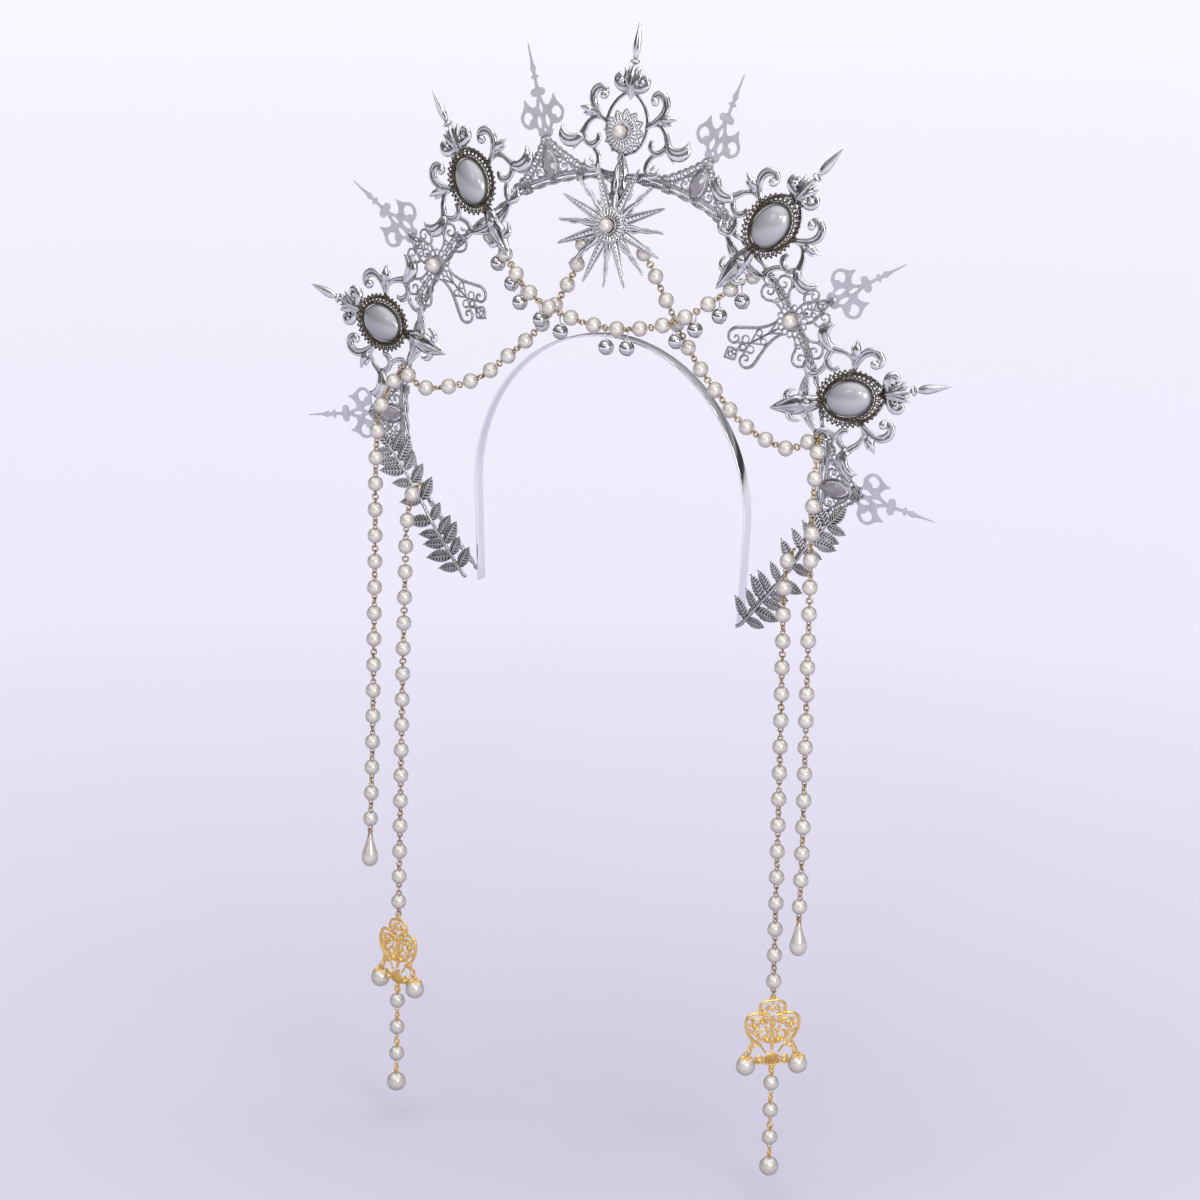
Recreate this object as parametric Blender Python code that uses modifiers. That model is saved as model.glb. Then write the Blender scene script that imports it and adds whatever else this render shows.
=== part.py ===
"""Halo crown headband: a wire ring of cast, pierced and pearl-set ornaments on a head band."""

import math

import bmesh
import bpy
from mathutils import Matrix, Vector

# Metres, +Z up, the front faces -Y. The origin is under the top of the head band.
# Every ornament is drawn flat: x across, y away from the ring's centre, z to the front.

CROWN = "halo_crown_headband"
CUTTERS = "guides"
GAP = 0.0003
WELD = 0.00002

# Head band
BAND_RISE = 0.0835
BAND_HALF_SPAN = 0.0797
BAND_LEG_BOTTOM = 0.137
BAND_FOOT_HALF_SPAN = 0.0770
BAND_WIDTH = 0.006
BAND_THICKNESS = 0.0013

# Ring that carries the ornaments
RING_RADIUS = 0.124
RING_WIRE = 0.0015
RING_CENTRE = Vector((0.0, -0.002, -0.044))
RING_LEAN = math.radians(3.4)
RING_HALF_SWEEP = math.radians(103)
RING_FOOT_ABOVE_BAND_END = 0.005
ORNAMENT_STEP = math.radians(19.2)

# Spire castings
SPIRE_WIDTH = 0.076
SPIRE_LENGTH = 0.097
SPIRE_STOCK = 0.0016
SPIRE_FLATNESS = 0.62
SPIRE_DISH = math.radians(8)
CENTRE_SPIRE_LIFT = 0.0065
FLEUR_HALF_DEPTH = 0.0014
SPEAR_FLATNESS = 0.65

# Oval settings on the side spires
CABOCHON_LENGTH = 0.025
CABOCHON_WIDTH = 0.018
CABOCHON_RISE = 0.0058
BEZEL_BORDER = 0.0052
BEZEL_EDGE = 0.0009
BEZEL_RIM = 0.0021
BEZEL_LOBES = 13
SETTING_HEIGHT = 0.018

# Pearl flowers
FLOWER_RADIUS = 0.0095
FLOWER_THICKNESS = 0.0015
FLOWER_PETALS = 12
FLOWER_VALLEY = 0.86
FLOWER_HEIGHT = 0.0165
FLOWER_PEARL_RADIUS = 0.0042
SUNBURST_RADIUS = 0.0116
SUNBURST_THICKNESS = 0.0008
SUNBURST_POINTS = 12
SUNBURST_STEM = 0.015

# Star
STAR_RADIUS = 0.0325
STAR_HEIGHT = -0.024
STAR_THICKNESS = 0.0012
STAR_HUB = 0.009
STAR_RAYS = 16
RAY_HALF_WIDTH = 0.0017

# Lace triangles and their stones
LACE_WIDTH = 0.052
LACE_HEIGHT = 0.022
LACE_THICKNESS = 0.0012
LACE_DISH = math.radians(3)
STONE_LENGTH = 0.0135
STONE_WIDTH = 0.0068
STONE_RISE = 0.0022
STONE_HEIGHT = 0.0092

# Clock hands; a seat is steps round the ring, name, overlap and turn in degrees
HAND_LENGTH = 0.047
HAND_WIDTH = 0.0268
HAND_THICKNESS = 0.0007
HAND_DISH = math.radians(3)
HAND_SEATS = ((1, "_top", 0.0010, 0), (3, "", 0.0030, 2), (5, "_low", 0.0070, 4))

# Crosses
CROSS_LENGTH = 0.0655
CROSS_WIDTH = 0.045
CROSS_THICKNESS = 0.0014
CROSS_PEARL_RADIUS = 0.004
CROSS_STEP = 3

# Laurel sprays
LAUREL_LENGTH = 0.088
LAUREL_PAIRS = 7
LAUREL_LEAF_LENGTH = 0.0145
LAUREL_LEAF_WIDTH = 0.0066
LAUREL_STEM = 0.0009
LAUREL_HALF_DEPTH = 0.0008
LAUREL_FRONT = 0.0017
LAUREL_FOOT_STEP = Vector((0.0040, -0.0006))
LAUREL_AIM_OUT = 0.016
LAUREL_AIM_TURN = math.radians(97.9)

# Pearl chains
PEARL_RADIUS = 0.004
PEARL_PITCH = 0.0133
CHAIN_WIRE = 0.0008
STRAND_KNOT_PITCH = 0.024
END_PEARL_RADIUS = 0.005
TEARDROP_LENGTH = 0.0185
TEARDROP_RADIUS = 0.0044
BELL_RADIUS = 0.0041
BELL_DROP = 0.0105
BEAD_RINGS = (-78, -35, 35, 78)

# Gold filigree drops
FILIGREE_WIDTH = 0.028
FILIGREE_HEIGHT = 0.0395
FILIGREE_THICKNESS = 0.0012
FILIGREE_PEARL_RADIUS = 0.005
FILIGREE_PEARL_PLACE = Vector((0.0134, -0.0370))
FILIGREE_LOOP = Vector((0.0102, -0.0270))
FILIGREE_TURNS = {"right": math.radians(45), "left": math.radians(-14)}

# Routes of the chains, chosen by hand: x, y, z
SWAG_TIE_TURN = math.radians(5.5)
BARE_LINKS = (5, 8)
SWAG_ROUTE = ((0.000, -0.0090, 0.0062), (0.018, -0.0090, 0.0080), (0.036, -0.0088, 0.0128),
              (0.050, -0.0070, 0.0200), (0.0625, -0.0012, 0.0295), (0.0738, 0.0032, 0.0385))
STAR_CHAIN_ROUTE = ((0.0205, -0.0010, 0.0400), (0.0262, 0.0006, 0.0280), (0.0335, 0.0008, 0.0155),
                    (0.0430, 0.0000, 0.0010), (0.0535, -0.0020, -0.0105), (0.0640, -0.0035, -0.0200),
                    (0.0745, -0.0048, -0.0290), (0.0860, -0.0065, -0.0350), (0.0985, -0.0080, -0.0385),
                    (0.1100, -0.0092, -0.0395))
OUTER_STRAND_ROUTE = ((0.1290, -0.0170, -0.0500), (0.1299, -0.0200, -0.0750),
                      (0.1297, -0.0202, -0.1350), (0.1297, -0.0204, -0.2300), (0.1296, -0.0216, -0.2755))
INNER_STRAND_ROUTE = ((0.1120, -0.0077, -0.0915), (0.1122, -0.0135, -0.0965), (0.1128, -0.0168, -0.1120),
                      (0.1135, -0.0175, -0.1950), (0.1137, -0.0180, -0.3180))

# Half of one spire casting, on a grid of 76 by 97 squares: x, y, share of the full stock
SPIRE_GRID = (76, 97)
SPIRE_SCROLLS = {
    "hoop": ((0, 37, 0.8), (9.6, 30.4, 0.7), (12, 17, 0.8)),
    "upper_scroll": ((11.5, 20, 0.6), (20.4, 27.6, 0.9), (19.5, 37, 1.1), (14.4, 34, 1.6)),
    "upper_leaf": ((19, 25.2, 1.0), (23, 24.4, 1.1), (28.5, 26, 0.2)),
    "branch": ((11.8, 21, 0.7), (19, 22.2, 0.7), (24.6, 17.5, 0.9), (30.6, 9.8, 1.4), (37.6, 15.5, 0.4)),
    "lower_leaf": ((26, 13, 1.1), (28.2, 9, 0.9), (29.2, 5.2, 0.2)),
    "inner_curl": ((25.5, 14, 1.0), (20.4, 7.6, 1.0), (18, 15, 0.8)),
    "stem": ((20.3, 8.4, 0.6), (17, 0.6, 0.9), (9, -4.2, 0.7), (2, -6, 1.0)),
    "fleur_curl": ((1.5, -16, 0.9), (6.2, -15.4, 0.9), (7.8, -11.6, 0.3)),
    "cap_lobe": ((1.5, 39, 1.0), (6.8, 40.2, 1.8), (8.4, 44.4, 0.9)),
}
FLEUR_ROWS = ((0, -25.5, 0.1), (0, -17, 0.9), (0, -12.6, 0.52), (0, -8, 0.62), (0, -3, 1.0), (0, 4, 0.5))
SPEAR_ROWS = ((0, 33.5, 0.1), (0, 38, 0.75), (0, 44, 1.0), (0, 48, 0.6), (0, 50, 0.3), (0, 51.8, 0.74),
              (0, 53.6, 0.33), (0, 58, 0.74), (0, 64, 0.52), (0, 71.5, 0.07))
FLEUR_HALF_WIDTH = 0.0046
CAP_HALF_WIDTH = 0.0038
BELL_ROWS = ((0.0, 0.15), (0.5, 0.2), (0.92, 1.0), (1.34, 0.3))
TEARDROP_ROWS = ((0.0, 0.12), (0.3, 0.52), (0.68, 1.0), (0.90, 0.75), (1.0, 0.2))

# Half outlines and holes of the flat pieces, on grids of squares: x, y
LACE_GRID = (52, 22)
LACE_EDGE = ((26, -1.0), (24, 3.6), (17, 5.4), (14.6, 10), (10.4, 12.4), (9.6, 15.4), (4.8, 18), (0, 24))
LACE_HOLES = (((3.6, 3.4), (11.5, 2.6), (9, 6.2), (5.2, 6.4)),
              ((6, 8), (9.6, 8.2), (9.2, 11.2), (6.2, 11)),
              ((3.2, 14.8), (7, 13.2), (7.4, 14.6), (3.6, 17.2)),
              ((12.4, 4.6), (19.4, 1.8), (14.2, 5.6), (12, 8)))
LACE_BASE_POINTS = 7
HAND_GRID = (26.8, 47)
HAND_EDGE = ((0, 0.6), (4.4, 5.4), (9, 5.0), (12.6, 7.6), (13.2, 11.8),
             (10.6, 15.2), (8.6, 20.4), (6.6, 16.2), (2.6, 15.6), (1.0, 21.2), (3.6, 21.4), (3.6, 24.6),
             (0.9, 25.2), (2.4, 31.0), (0.8, 32.6), (0.3, 47))
HAND_HOLES = (((6.2, 8.6), (9.4, 8.0), (10.2, 12.6), (6.4, 12.4)),
              ((1.2, 9.0), (3.0, 5.6), (2.8, 11.8)))
HAND_EYE = ((0, 11.4), (1.2, 14), (0, 17.8))
CROSS_GRID = (45, 65.5)
CROSS_EDGE = ((0, -41), (1.9, -38.6), (4.6, -35.8), (4.6, -33.4), (8.4, -33.2), (10.2, -29.2),
              (7.8, -21.4), (4.4, -12.5), (4.8, -8), (7.8, -6.4), (8.4, -3.6), (13, -3.8), (15.6, -9.6),
              (20.6, -9), (22.4, -4.6), (21.2, 0), (22.4, 4.6), (20.6, 9), (15.6, 9.6), (13, 3.8), (8.4, 3.6),
              (7.8, 6.4), (4.8, 8), (4.2, 10.4), (9, 12.2), (10, 17), (6.4, 20), (3.6, 18.6), (0, 24.5))
CROSS_HOLES = (((1.4, -22), (5.4, -20.8), (8, -28.6), (5.6, -30.6), (3.0, -27.4)),
               ((1.2, -29.8), (3.2, -31.4), (1.2, -33.6)),
               ((15.4, -6.6), (18.2, -7.2), (19.6, -5), (17, -3.4)),
               ((15.4, 6.6), (18.2, 7.2), (19.6, 5), (17, 3.4)),
               ((5.2, 13.4), (7.6, 14), (7.6, 17), (5.0, 17)))
FILIGREE_GRID = (28.5, 39.5)
FILIGREE_EDGE = ((0, 0), (2.2, -1.6), (1.8, -4), (5.6, -5), (8, -8.4), (11, -9.8), (14.2, -13.4),
                 (13.8, -18.6), (10.8, -22.6), (11.2, -26.4), (6.2, -26.2), (3.8, -30.4), (5, -33.4),
                 (7.4, -32.2), (7.6, -36.2), (4.4, -37), (0, -39.5))
FILIGREE_HOLES = (((7.6, -13), (10.6, -12), (12, -15.4), (9.4, -18), (7.4, -16.2)),
                  ((2.6, -7.6), (5.4, -7.2), (5.8, -10), (3, -10.8)),
                  ((2, -13.8), (5.4, -13.6), (5.6, -17.6), (2, -17.8)),
                  ((2.8, -21), (6.2, -20.4), (6.6, -23.4), (3, -23.8)))

COLOURS = {
    "bright_silver": ((0.66, 0.66, 0.67), 0.24, 1.0),
    "antique_silver": ((0.36, 0.35, 0.36), 0.38, 1.0),
    "satin_silver": ((0.56, 0.56, 0.59), 0.45, 1.0),
    "dark_bronze": ((0.11, 0.10, 0.07), 0.45, 1.0),
    "grey_pearl": ((0.47, 0.46, 0.49), 0.12, 0.0),
    "grey_stone": ((0.28, 0.26, 0.28), 0.25, 0.0),
    "ivory_pearl": ((0.80, 0.76, 0.70), 0.18, 0.0),
    "gold": ((0.85, 0.58, 0.20), 0.25, 1.0),
    "chrome": ((0.75, 0.75, 0.78), 0.08, 1.0),
    "gunmetal": ((0.20, 0.20, 0.20), 0.35, 1.0),
}


def clear_scene():
    """Remove whatever objects the file opened with."""
    for item in list(bpy.data.objects):
        bpy.data.objects.remove(item)


def collection(name):
    """A new collection linked to the scene."""
    group = bpy.data.collections.new(name)
    bpy.context.scene.collection.children.link(group)
    return group


def material(name):
    """A Principled material with the part's colour, roughness and metallic value."""
    colour, roughness, metallic = COLOURS[name]
    made = bpy.data.materials.get(name) or bpy.data.materials.new(name)
    made.use_nodes = True
    shader = made.node_tree.nodes["Principled BSDF"]
    shader.inputs["Base Color"].default_value = (*colour, 1.0)
    shader.inputs["Roughness"].default_value = roughness
    shader.inputs["Metallic"].default_value = metallic
    return made


def add(name, data, finish, place=None):
    """Put one sub-part in the crown's collection, at its place and with its own material."""
    piece = bpy.data.objects.new(name, data)
    if not data.materials:
        data.materials.append(material(finish))
    if place is not None:
        piece.matrix_world = place
    bpy.data.collections[CROWN].objects.link(piece)
    return piece


def evaluated(piece):
    """The mesh of an object as its modifiers leave it; the object itself is removed."""
    graph = bpy.context.evaluated_depsgraph_get()
    mesh = bpy.data.meshes.new_from_object(piece.evaluated_get(graph))
    bpy.data.objects.remove(piece)
    return mesh


def weld(mesh):
    """Join the loose caps of a tube, or the slivers of a union, and turn the faces out."""
    shape = bmesh.new()
    shape.from_mesh(mesh)
    bmesh.ops.remove_doubles(shape, verts=shape.verts, dist=WELD)
    bmesh.ops.recalc_face_normals(shape, faces=shape.faces)
    shape.to_mesh(mesh)
    shape.free()
    return mesh


def smooth(rows, steps):
    """Points read from a smooth curve through the rows, so many steps to each span."""
    rows = [Vector(row) for row in rows]
    rows = [2 * rows[0] - rows[1]] + rows + [2 * rows[-1] - rows[-2]]
    points = []
    for before, start, end, after in zip(rows, rows[1:], rows[2:], rows[3:]):
        for step in range(steps):
            t = step / steps
            bend = (2 * before - 5 * start + 4 * end - after) * t ** 2
            turn = (3 * start - before - 3 * end + after) * t ** 3
            points.append((2 * start + (end - before) * t + bend + turn) / 2)
    return points + [rows[-2]]


def tube(name, points, radii, sides, twist="MINIMUM"):
    """A curve through the points, with its own radius at each and filled caps."""
    curve = bpy.data.curves.new(name, "CURVE")
    curve.dimensions = "3D"
    curve.twist_mode = twist
    curve.bevel_depth = max(radii)
    curve.bevel_resolution = (sides - 4) // 2
    curve.use_fill_caps = True
    spline = curve.splines.new("POLY")
    spline.points.add(len(points) - 1)
    for knot, point, radius in zip(spline.points, points, radii):
        knot.co = (*point, 1.0)
        knot.radius = radius / max(radii)
    return curve


def solid_tube(name, points, radii, sides, flatness=1.0):
    """The same tube as one closed mesh, pressed flatter towards z = 0."""
    piece = bpy.data.objects.new(name, tube(name, points, radii, sides, "Z_UP"))
    bpy.data.collections[CUTTERS].objects.link(piece)
    mesh = weld(evaluated(piece))
    mesh.transform(Matrix.Diagonal((1, 1, flatness, 1)))
    mesh.shade_smooth()
    return bpy.data.objects.new(name, mesh)


def fuse(name, pieces):
    """One body from overlapping closed meshes, as cast or soldered metal is."""
    base = pieces[0]
    operands = bpy.data.collections.new(name + "_operands")
    bpy.data.collections[CUTTERS].children.link(operands)
    for piece in pieces[1:]:
        operands.objects.link(piece)
    bpy.data.collections[CUTTERS].objects.link(base)
    union = base.modifiers.new("union", "BOOLEAN")
    union.operation = "UNION"
    union.solver = "EXACT"
    union.operand_type = "COLLECTION"
    union.collection = operands
    mesh = weld(evaluated(base))
    mesh.name = name
    for piece in list(operands.objects):
        bpy.data.objects.remove(piece)
    bpy.data.collections.remove(operands)
    return mesh


def mirrored(half):
    """A closed outline from its right half, listed from bottom to top."""
    left = [(-x, y) for x, y in reversed(half) if x > 0]
    return list(half) + left


def both_sides(shapes):
    """Each shape and its mirror image."""
    return [[(side * x, y) for x, y in shape] for shape in shapes for side in (1, -1)]


def plate(name, outlines, thickness):
    """A flat piece cut from sheet: the first outline is its edge and the others are holes."""
    curve = bpy.data.curves.new(name, "CURVE")
    curve.dimensions = "2D"
    curve.fill_mode = "BOTH"
    curve.extrude = thickness / 2
    for outline in outlines:
        spline = curve.splines.new("POLY")
        spline.points.add(len(outline) - 1)
        spline.use_cyclic_u = True
        for knot, (x, y) in zip(spline.points, outline):
            knot.co = (x, y, 0, 1)
    return curve


def on_grid(points, grid, width, height):
    """Grid squares turned into metres."""
    return [(x * width / grid[0], y * height / grid[1]) for x, y in points]


def circle(radius, count, wobble=1.0):
    """Points round a circle; every second one lies at the wobbled radius."""
    return [(math.sin(math.tau * step / count) * radius * (wobble if step % 2 else 1.0),
             math.cos(math.tau * step / count) * radius * (wobble if step % 2 else 1.0))
            for step in range(count)]


def dome(name, width, length, rise, segments, rows, sink=0.0):
    """The upper part of a stretched sphere, closed by a flat base at z = 0."""
    shape = bmesh.new()
    bmesh.ops.create_uvsphere(shape, u_segments=segments, v_segments=rows, radius=1.0)
    every = shape.verts[:] + shape.edges[:] + shape.faces[:]
    cut = bmesh.ops.bisect_plane(shape, geom=every, plane_co=(0, 0, -sink), plane_no=(0, 0, -1),
                                 clear_outer=True)
    rim = [edge for edge in cut["geom_cut"] if isinstance(edge, bmesh.types.BMEdge)]
    bmesh.ops.contextual_create(shape, geom=rim)
    bmesh.ops.translate(shape, verts=shape.verts, vec=(0, 0, sink))
    scale = rise / (1 + sink)
    bmesh.ops.scale(shape, verts=shape.verts, vec=(width / 2, length / 2, scale))
    bmesh.ops.recalc_face_normals(shape, faces=shape.faces)
    mesh = bpy.data.meshes.new(name)
    shape.to_mesh(mesh)
    shape.free()
    mesh.shade_smooth()
    return mesh


def halo():
    """The plane of the ring: x across, y up along the leaning ring, z to the front."""
    return Matrix.Translation(RING_CENTRE) @ Matrix.Rotation(math.pi / 2 - RING_LEAN, 4, "X")


def on_ring(angle, dish, height=0.0, front=0.0):
    """The frame of an ornament at an angle from the top, dished back about the ring's wire."""
    return (halo() @ Matrix.Rotation(-angle, 4, "Z") @ Matrix.Translation((0, RING_RADIUS, 0))
            @ Matrix.Rotation(-dish, 4, "X") @ Matrix.Translation((0, height, front)))


def spire_middle():
    """How far the middle of a spire casting stands in front of the ring's middle."""
    return RING_WIRE + GAP + FLEUR_HALF_DEPTH


def second_layer():
    """The back of what lies on the spire castings."""
    return spire_middle() + FLEUR_HALF_DEPTH + GAP


def cross_back():
    """The back of a cross, which lies on the lower stems of the spires beside it."""
    return spire_middle() + SPIRE_STOCK * SPIRE_FLATNESS + GAP


def head_band():
    """A flat strip bent into an arch, with legs that draw in."""
    sweep = 9
    arc = [(BAND_HALF_SPAN * math.sin(math.pi / 2 * step / sweep),
            BAND_RISE * (math.cos(math.pi / 2 * step / sweep) - 1)) for step in range(sweep + 1)]
    half = arc + [(BAND_FOOT_HALF_SPAN, -BAND_LEG_BOTTOM)]
    line = [(-x, z) for x, z in reversed(half[1:])] + half
    shape = bmesh.new()
    front = [shape.verts.new((x, -BAND_WIDTH / 2, z)) for x, z in line]
    back = [shape.verts.new((x, BAND_WIDTH / 2, z)) for x, z in line]
    for near, far in zip(range(len(line)), range(1, len(line))):
        shape.faces.new((front[near], front[far], back[far], back[near]))
    mesh = bpy.data.meshes.new("headband")
    shape.to_mesh(mesh)
    shape.free()
    band = add("headband", mesh, "chrome")
    wall = band.modifiers.new("wall", "SOLIDIFY")
    wall.thickness = BAND_THICKNESS
    wall.offset = 1


def ring_foot():
    """Where the ring's wire ends against the outside of a band leg."""
    height = BAND_LEG_BOTTOM - RING_FOOT_ABOVE_BAND_END
    share = (height - BAND_RISE) / (BAND_LEG_BOTTOM - BAND_RISE)
    leg = BAND_HALF_SPAN + (BAND_FOOT_HALF_SPAN - BAND_HALF_SPAN) * share
    return Vector((leg + BAND_THICKNESS + GAP + RING_WIRE * 1.1, 0.0, -height))


def halo_ring():
    """The ring's wire: most of a circle, then both ends drawn in to the band."""
    foot = ring_foot()
    steps = 12
    arc = [halo() @ Vector((RING_RADIUS * math.sin(RING_HALF_SWEEP * step / steps),
                            RING_RADIUS * math.cos(RING_HALF_SWEEP * step / steps), 0))
           for step in range(steps + 1)]
    bend = arc[-1].lerp(foot, 0.45) + Vector((RING_RADIUS * 0.055, 0, 0))
    half = arc[:-1] + smooth((arc[-1], bend, foot), 3)
    line = [Vector((-point.x, point.y, point.z)) for point in reversed(half[1:])] + half
    add("halo_ring", tube("halo_ring", line, [RING_WIRE] * len(line), 6), "antique_silver")


def spire_rows(rows, radius):
    """Rows on the spire's grid as points in metres and their radii."""
    across = SPIRE_WIDTH / SPIRE_GRID[0]
    along = SPIRE_LENGTH / SPIRE_GRID[1]
    return [(x * across, y * along, 0) for x, y, _ in rows], [share * radius for _, _, share in rows]


def spire_mesh():
    """One casting: mirrored scrolls joined to a fleur and to a spear with a leafy cap."""
    fleur_points, fleur_radii = spire_rows(FLEUR_ROWS, FLEUR_HALF_WIDTH)
    pieces = [solid_tube("fleur", fleur_points, fleur_radii, 4, FLEUR_HALF_DEPTH / FLEUR_HALF_WIDTH)]
    spear_points, spear_radii = spire_rows(SPEAR_ROWS, CAP_HALF_WIDTH)
    pieces.append(solid_tube("spear", spear_points, spear_radii, 4, SPEAR_FLATNESS))
    for name, rows in SPIRE_SCROLLS.items():
        for side in (1, -1):
            points, radii = spire_rows([(side * x, y, share) for x, y, share in rows], SPIRE_STOCK)
            pieces.append(solid_tube(name, points, radii, 4, SPIRE_FLATNESS))
    return fuse("spire", pieces)


def spires():
    """Five castings round the ring, the middle one set a little higher."""
    mesh = spire_mesh()
    names = ("spire_left_low", "spire_left", "spire_centre", "spire_right", "spire_right_low")
    for index, name in enumerate(names, -2):
        lift = 0 if index else CENTRE_SPIRE_LIFT
        add(name, mesh, "bright_silver", on_ring(index * 2 * ORNAMENT_STEP, SPIRE_DISH, lift, spire_middle()))


def bezel_mesh():
    """An oval setting whose border of lobes rises to a rim round the stone."""
    count = BEZEL_LOBES * 2
    inner = (CABOCHON_WIDTH / 2 + GAP, CABOCHON_LENGTH / 2 + GAP)
    rings = ((BEZEL_BORDER, 0), (BEZEL_BORDER, BEZEL_EDGE), (BEZEL_BORDER * 0.2, BEZEL_RIM), (0, 0))
    shape = bmesh.new()
    loops = []
    for border, height in rings:
        loop = []
        for step in range(count):
            angle = math.tau * step / count
            reach = border * (0.72 if step % 2 and border == BEZEL_BORDER else 1.0)
            loop.append(shape.verts.new(((inner[0] + reach) * math.cos(angle),
                                         (inner[1] + reach) * math.sin(angle), height)))
        loops.append(loop)
    for low, high in zip(loops, loops[1:] + loops[:1]):
        for step in range(count):
            after = (step + 1) % count
            shape.faces.new((low[step], low[after], high[after], high[step]))
    bmesh.ops.recalc_face_normals(shape, faces=shape.faces)
    mesh = bpy.data.meshes.new("bezel")
    shape.to_mesh(mesh)
    shape.free()
    return mesh


def settings():
    """The four oval pearls in their bronze settings, on the side spires."""
    bezel = bezel_mesh()
    stone = dome("cabochon", CABOCHON_WIDTH, CABOCHON_LENGTH, CABOCHON_RISE, 12, 6)
    for index, name in ((-2, "left_low"), (-1, "left"), (1, "right"), (2, "right_low")):
        place = on_ring(index * 2 * ORNAMENT_STEP, SPIRE_DISH, SETTING_HEIGHT, second_layer())
        add("bezel_" + name, bezel, "dark_bronze", place)
        add("cabochon_" + name, stone, "grey_pearl", place)


def flower(name, place):
    """A ring of small petals with a pearl on it; its back lies at z = 0 of the place."""
    edge = circle(FLOWER_RADIUS, FLOWER_PETALS * 2, FLOWER_VALLEY)
    middle = Matrix.Translation((0, 0, FLOWER_THICKNESS / 2))
    add(name, plate(name, [edge], FLOWER_THICKNESS), "antique_silver", place @ middle)
    pearl = dome(name + "_pearl", FLOWER_PEARL_RADIUS * 2, FLOWER_PEARL_RADIUS * 2,
                 FLOWER_PEARL_RADIUS * 1.6, 10, 6, 0.6)
    add(name + "_pearl", pearl, "ivory_pearl",
        place @ Matrix.Translation((0, 0, FLOWER_THICKNESS + GAP)))


def centre_flower():
    """The flower on the centre spire, with the pointed sunburst and stem behind it."""
    place = on_ring(0, SPIRE_DISH, CENTRE_SPIRE_LIFT + FLOWER_HEIGHT, second_layer())
    burst = circle(SUNBURST_RADIUS, SUNBURST_POINTS * 2, 0.8)
    foot = SUNBURST_POINTS
    half = RAY_HALF_WIDTH
    burst[foot:foot + 1] = [(half, -SUNBURST_RADIUS * 0.85), (half, -SUNBURST_STEM),
                            (-half, -SUNBURST_STEM), (-half, -SUNBURST_RADIUS * 0.85)]
    middle = Matrix.Translation((0, 0, SUNBURST_THICKNESS / 2))
    add("flower_back", plate("flower_back", [burst], SUNBURST_THICKNESS), "antique_silver", place @ middle)
    flower("flower_top", place @ Matrix.Translation((0, 0, SUNBURST_THICKNESS + GAP)))


def star_place():
    """The frame of the star, whose top ray lies on the flower's stem."""
    return on_ring(0, SPIRE_DISH, STAR_HEIGHT, second_layer() + SUNBURST_THICKNESS + GAP)


def star_edge():
    """Straight and wavy rays in turn round a hub."""
    edge = []
    for ray in range(STAR_RAYS):
        turn = Matrix.Rotation(-math.tau * ray / STAR_RAYS, 2)
        wide = RAY_HALF_WIDTH
        rows = [(-wide * 0.3, STAR_RADIUS), (wide * 0.3, STAR_RADIUS)]
        if ray % 2 == 0:
            low = STAR_RADIUS * 0.5
            high = STAR_RADIUS * 0.76
            rows = [(-wide * 1.3, low), (-wide * 0.1, high)] + rows + [(wide * 1.0, high), (wide * 0.4, low)]
        edge += [turn @ Vector(row) for row in rows]
        valley = Matrix.Rotation(-math.tau * (ray + 0.5) / STAR_RAYS, 2)
        edge.append(valley @ Vector((0, STAR_HUB)))
    return [(point.x, point.y) for point in edge]


def star():
    """The star with its own pearl flower."""
    place = star_place()
    middle = Matrix.Translation((0, 0, STAR_THICKNESS / 2))
    add("star", plate("star", [star_edge()], STAR_THICKNESS), "antique_silver", place @ middle)
    flower("star_flower", place @ Matrix.Translation((0, 0, STAR_THICKNESS + GAP)))


def lace_plate():
    """Pierced lace with a curved base that sits on the outside of the ring."""
    edge = on_grid(LACE_EDGE, LACE_GRID, LACE_WIDTH, LACE_HEIGHT)
    seat = RING_RADIUS + RING_WIRE + GAP
    half_angle = math.asin(edge[0][0] / seat)
    base = []
    for step in range(LACE_BASE_POINTS // 2 + 1):
        angle = half_angle * step / (LACE_BASE_POINTS // 2)
        base.append((seat * math.sin(angle), seat * math.cos(angle) - RING_RADIUS))
    holes = [on_grid(hole, LACE_GRID, LACE_WIDTH, LACE_HEIGHT) for hole in LACE_HOLES]
    return plate("lace", [mirrored(base + edge[1:])] + both_sides(holes), LACE_THICKNESS)


def stone_mesh():
    """A pointed oval stone with a flat table and a ring of facets."""
    count = 12
    rings = ((1.0, 0.0), (1.0, 0.35), (0.55, 1.0))
    shape = bmesh.new()
    loops = []
    for share, height in rings:
        loop = []
        for step in range(count):
            angle = math.tau * step / count
            across = STONE_WIDTH / 2 * math.sin(angle) * abs(math.sin(angle)) ** 0.4
            loop.append(shape.verts.new((across * share, STONE_LENGTH / 2 * math.cos(angle) * share,
                                         STONE_RISE * height)))
        loops.append(loop)
    for low, high in zip(loops, loops[1:]):
        for step in range(count):
            after = (step + 1) % count
            shape.faces.new((low[step], low[after], high[after], high[step]))
    shape.faces.new(loops[0])
    shape.faces.new(loops[-1])
    bmesh.ops.recalc_face_normals(shape, faces=shape.faces)
    mesh = bpy.data.meshes.new("stone")
    shape.to_mesh(mesh)
    shape.free()
    return mesh


def lace_triangles():
    """Four lace pieces between the spires, each with a stone, where no cross stands."""
    lace = lace_plate()
    stone = stone_mesh()
    for index, name in ((-5, "left_low"), (-1, "left"), (1, "right"), (5, "right_low")):
        angle = index * ORNAMENT_STEP
        add("lace_" + name, lace, "antique_silver", on_ring(angle, LACE_DISH))
        front = LACE_THICKNESS / 2 + GAP
        add("stone_" + name, stone, "grey_stone", on_ring(angle, LACE_DISH, STONE_HEIGHT, front))


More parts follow.
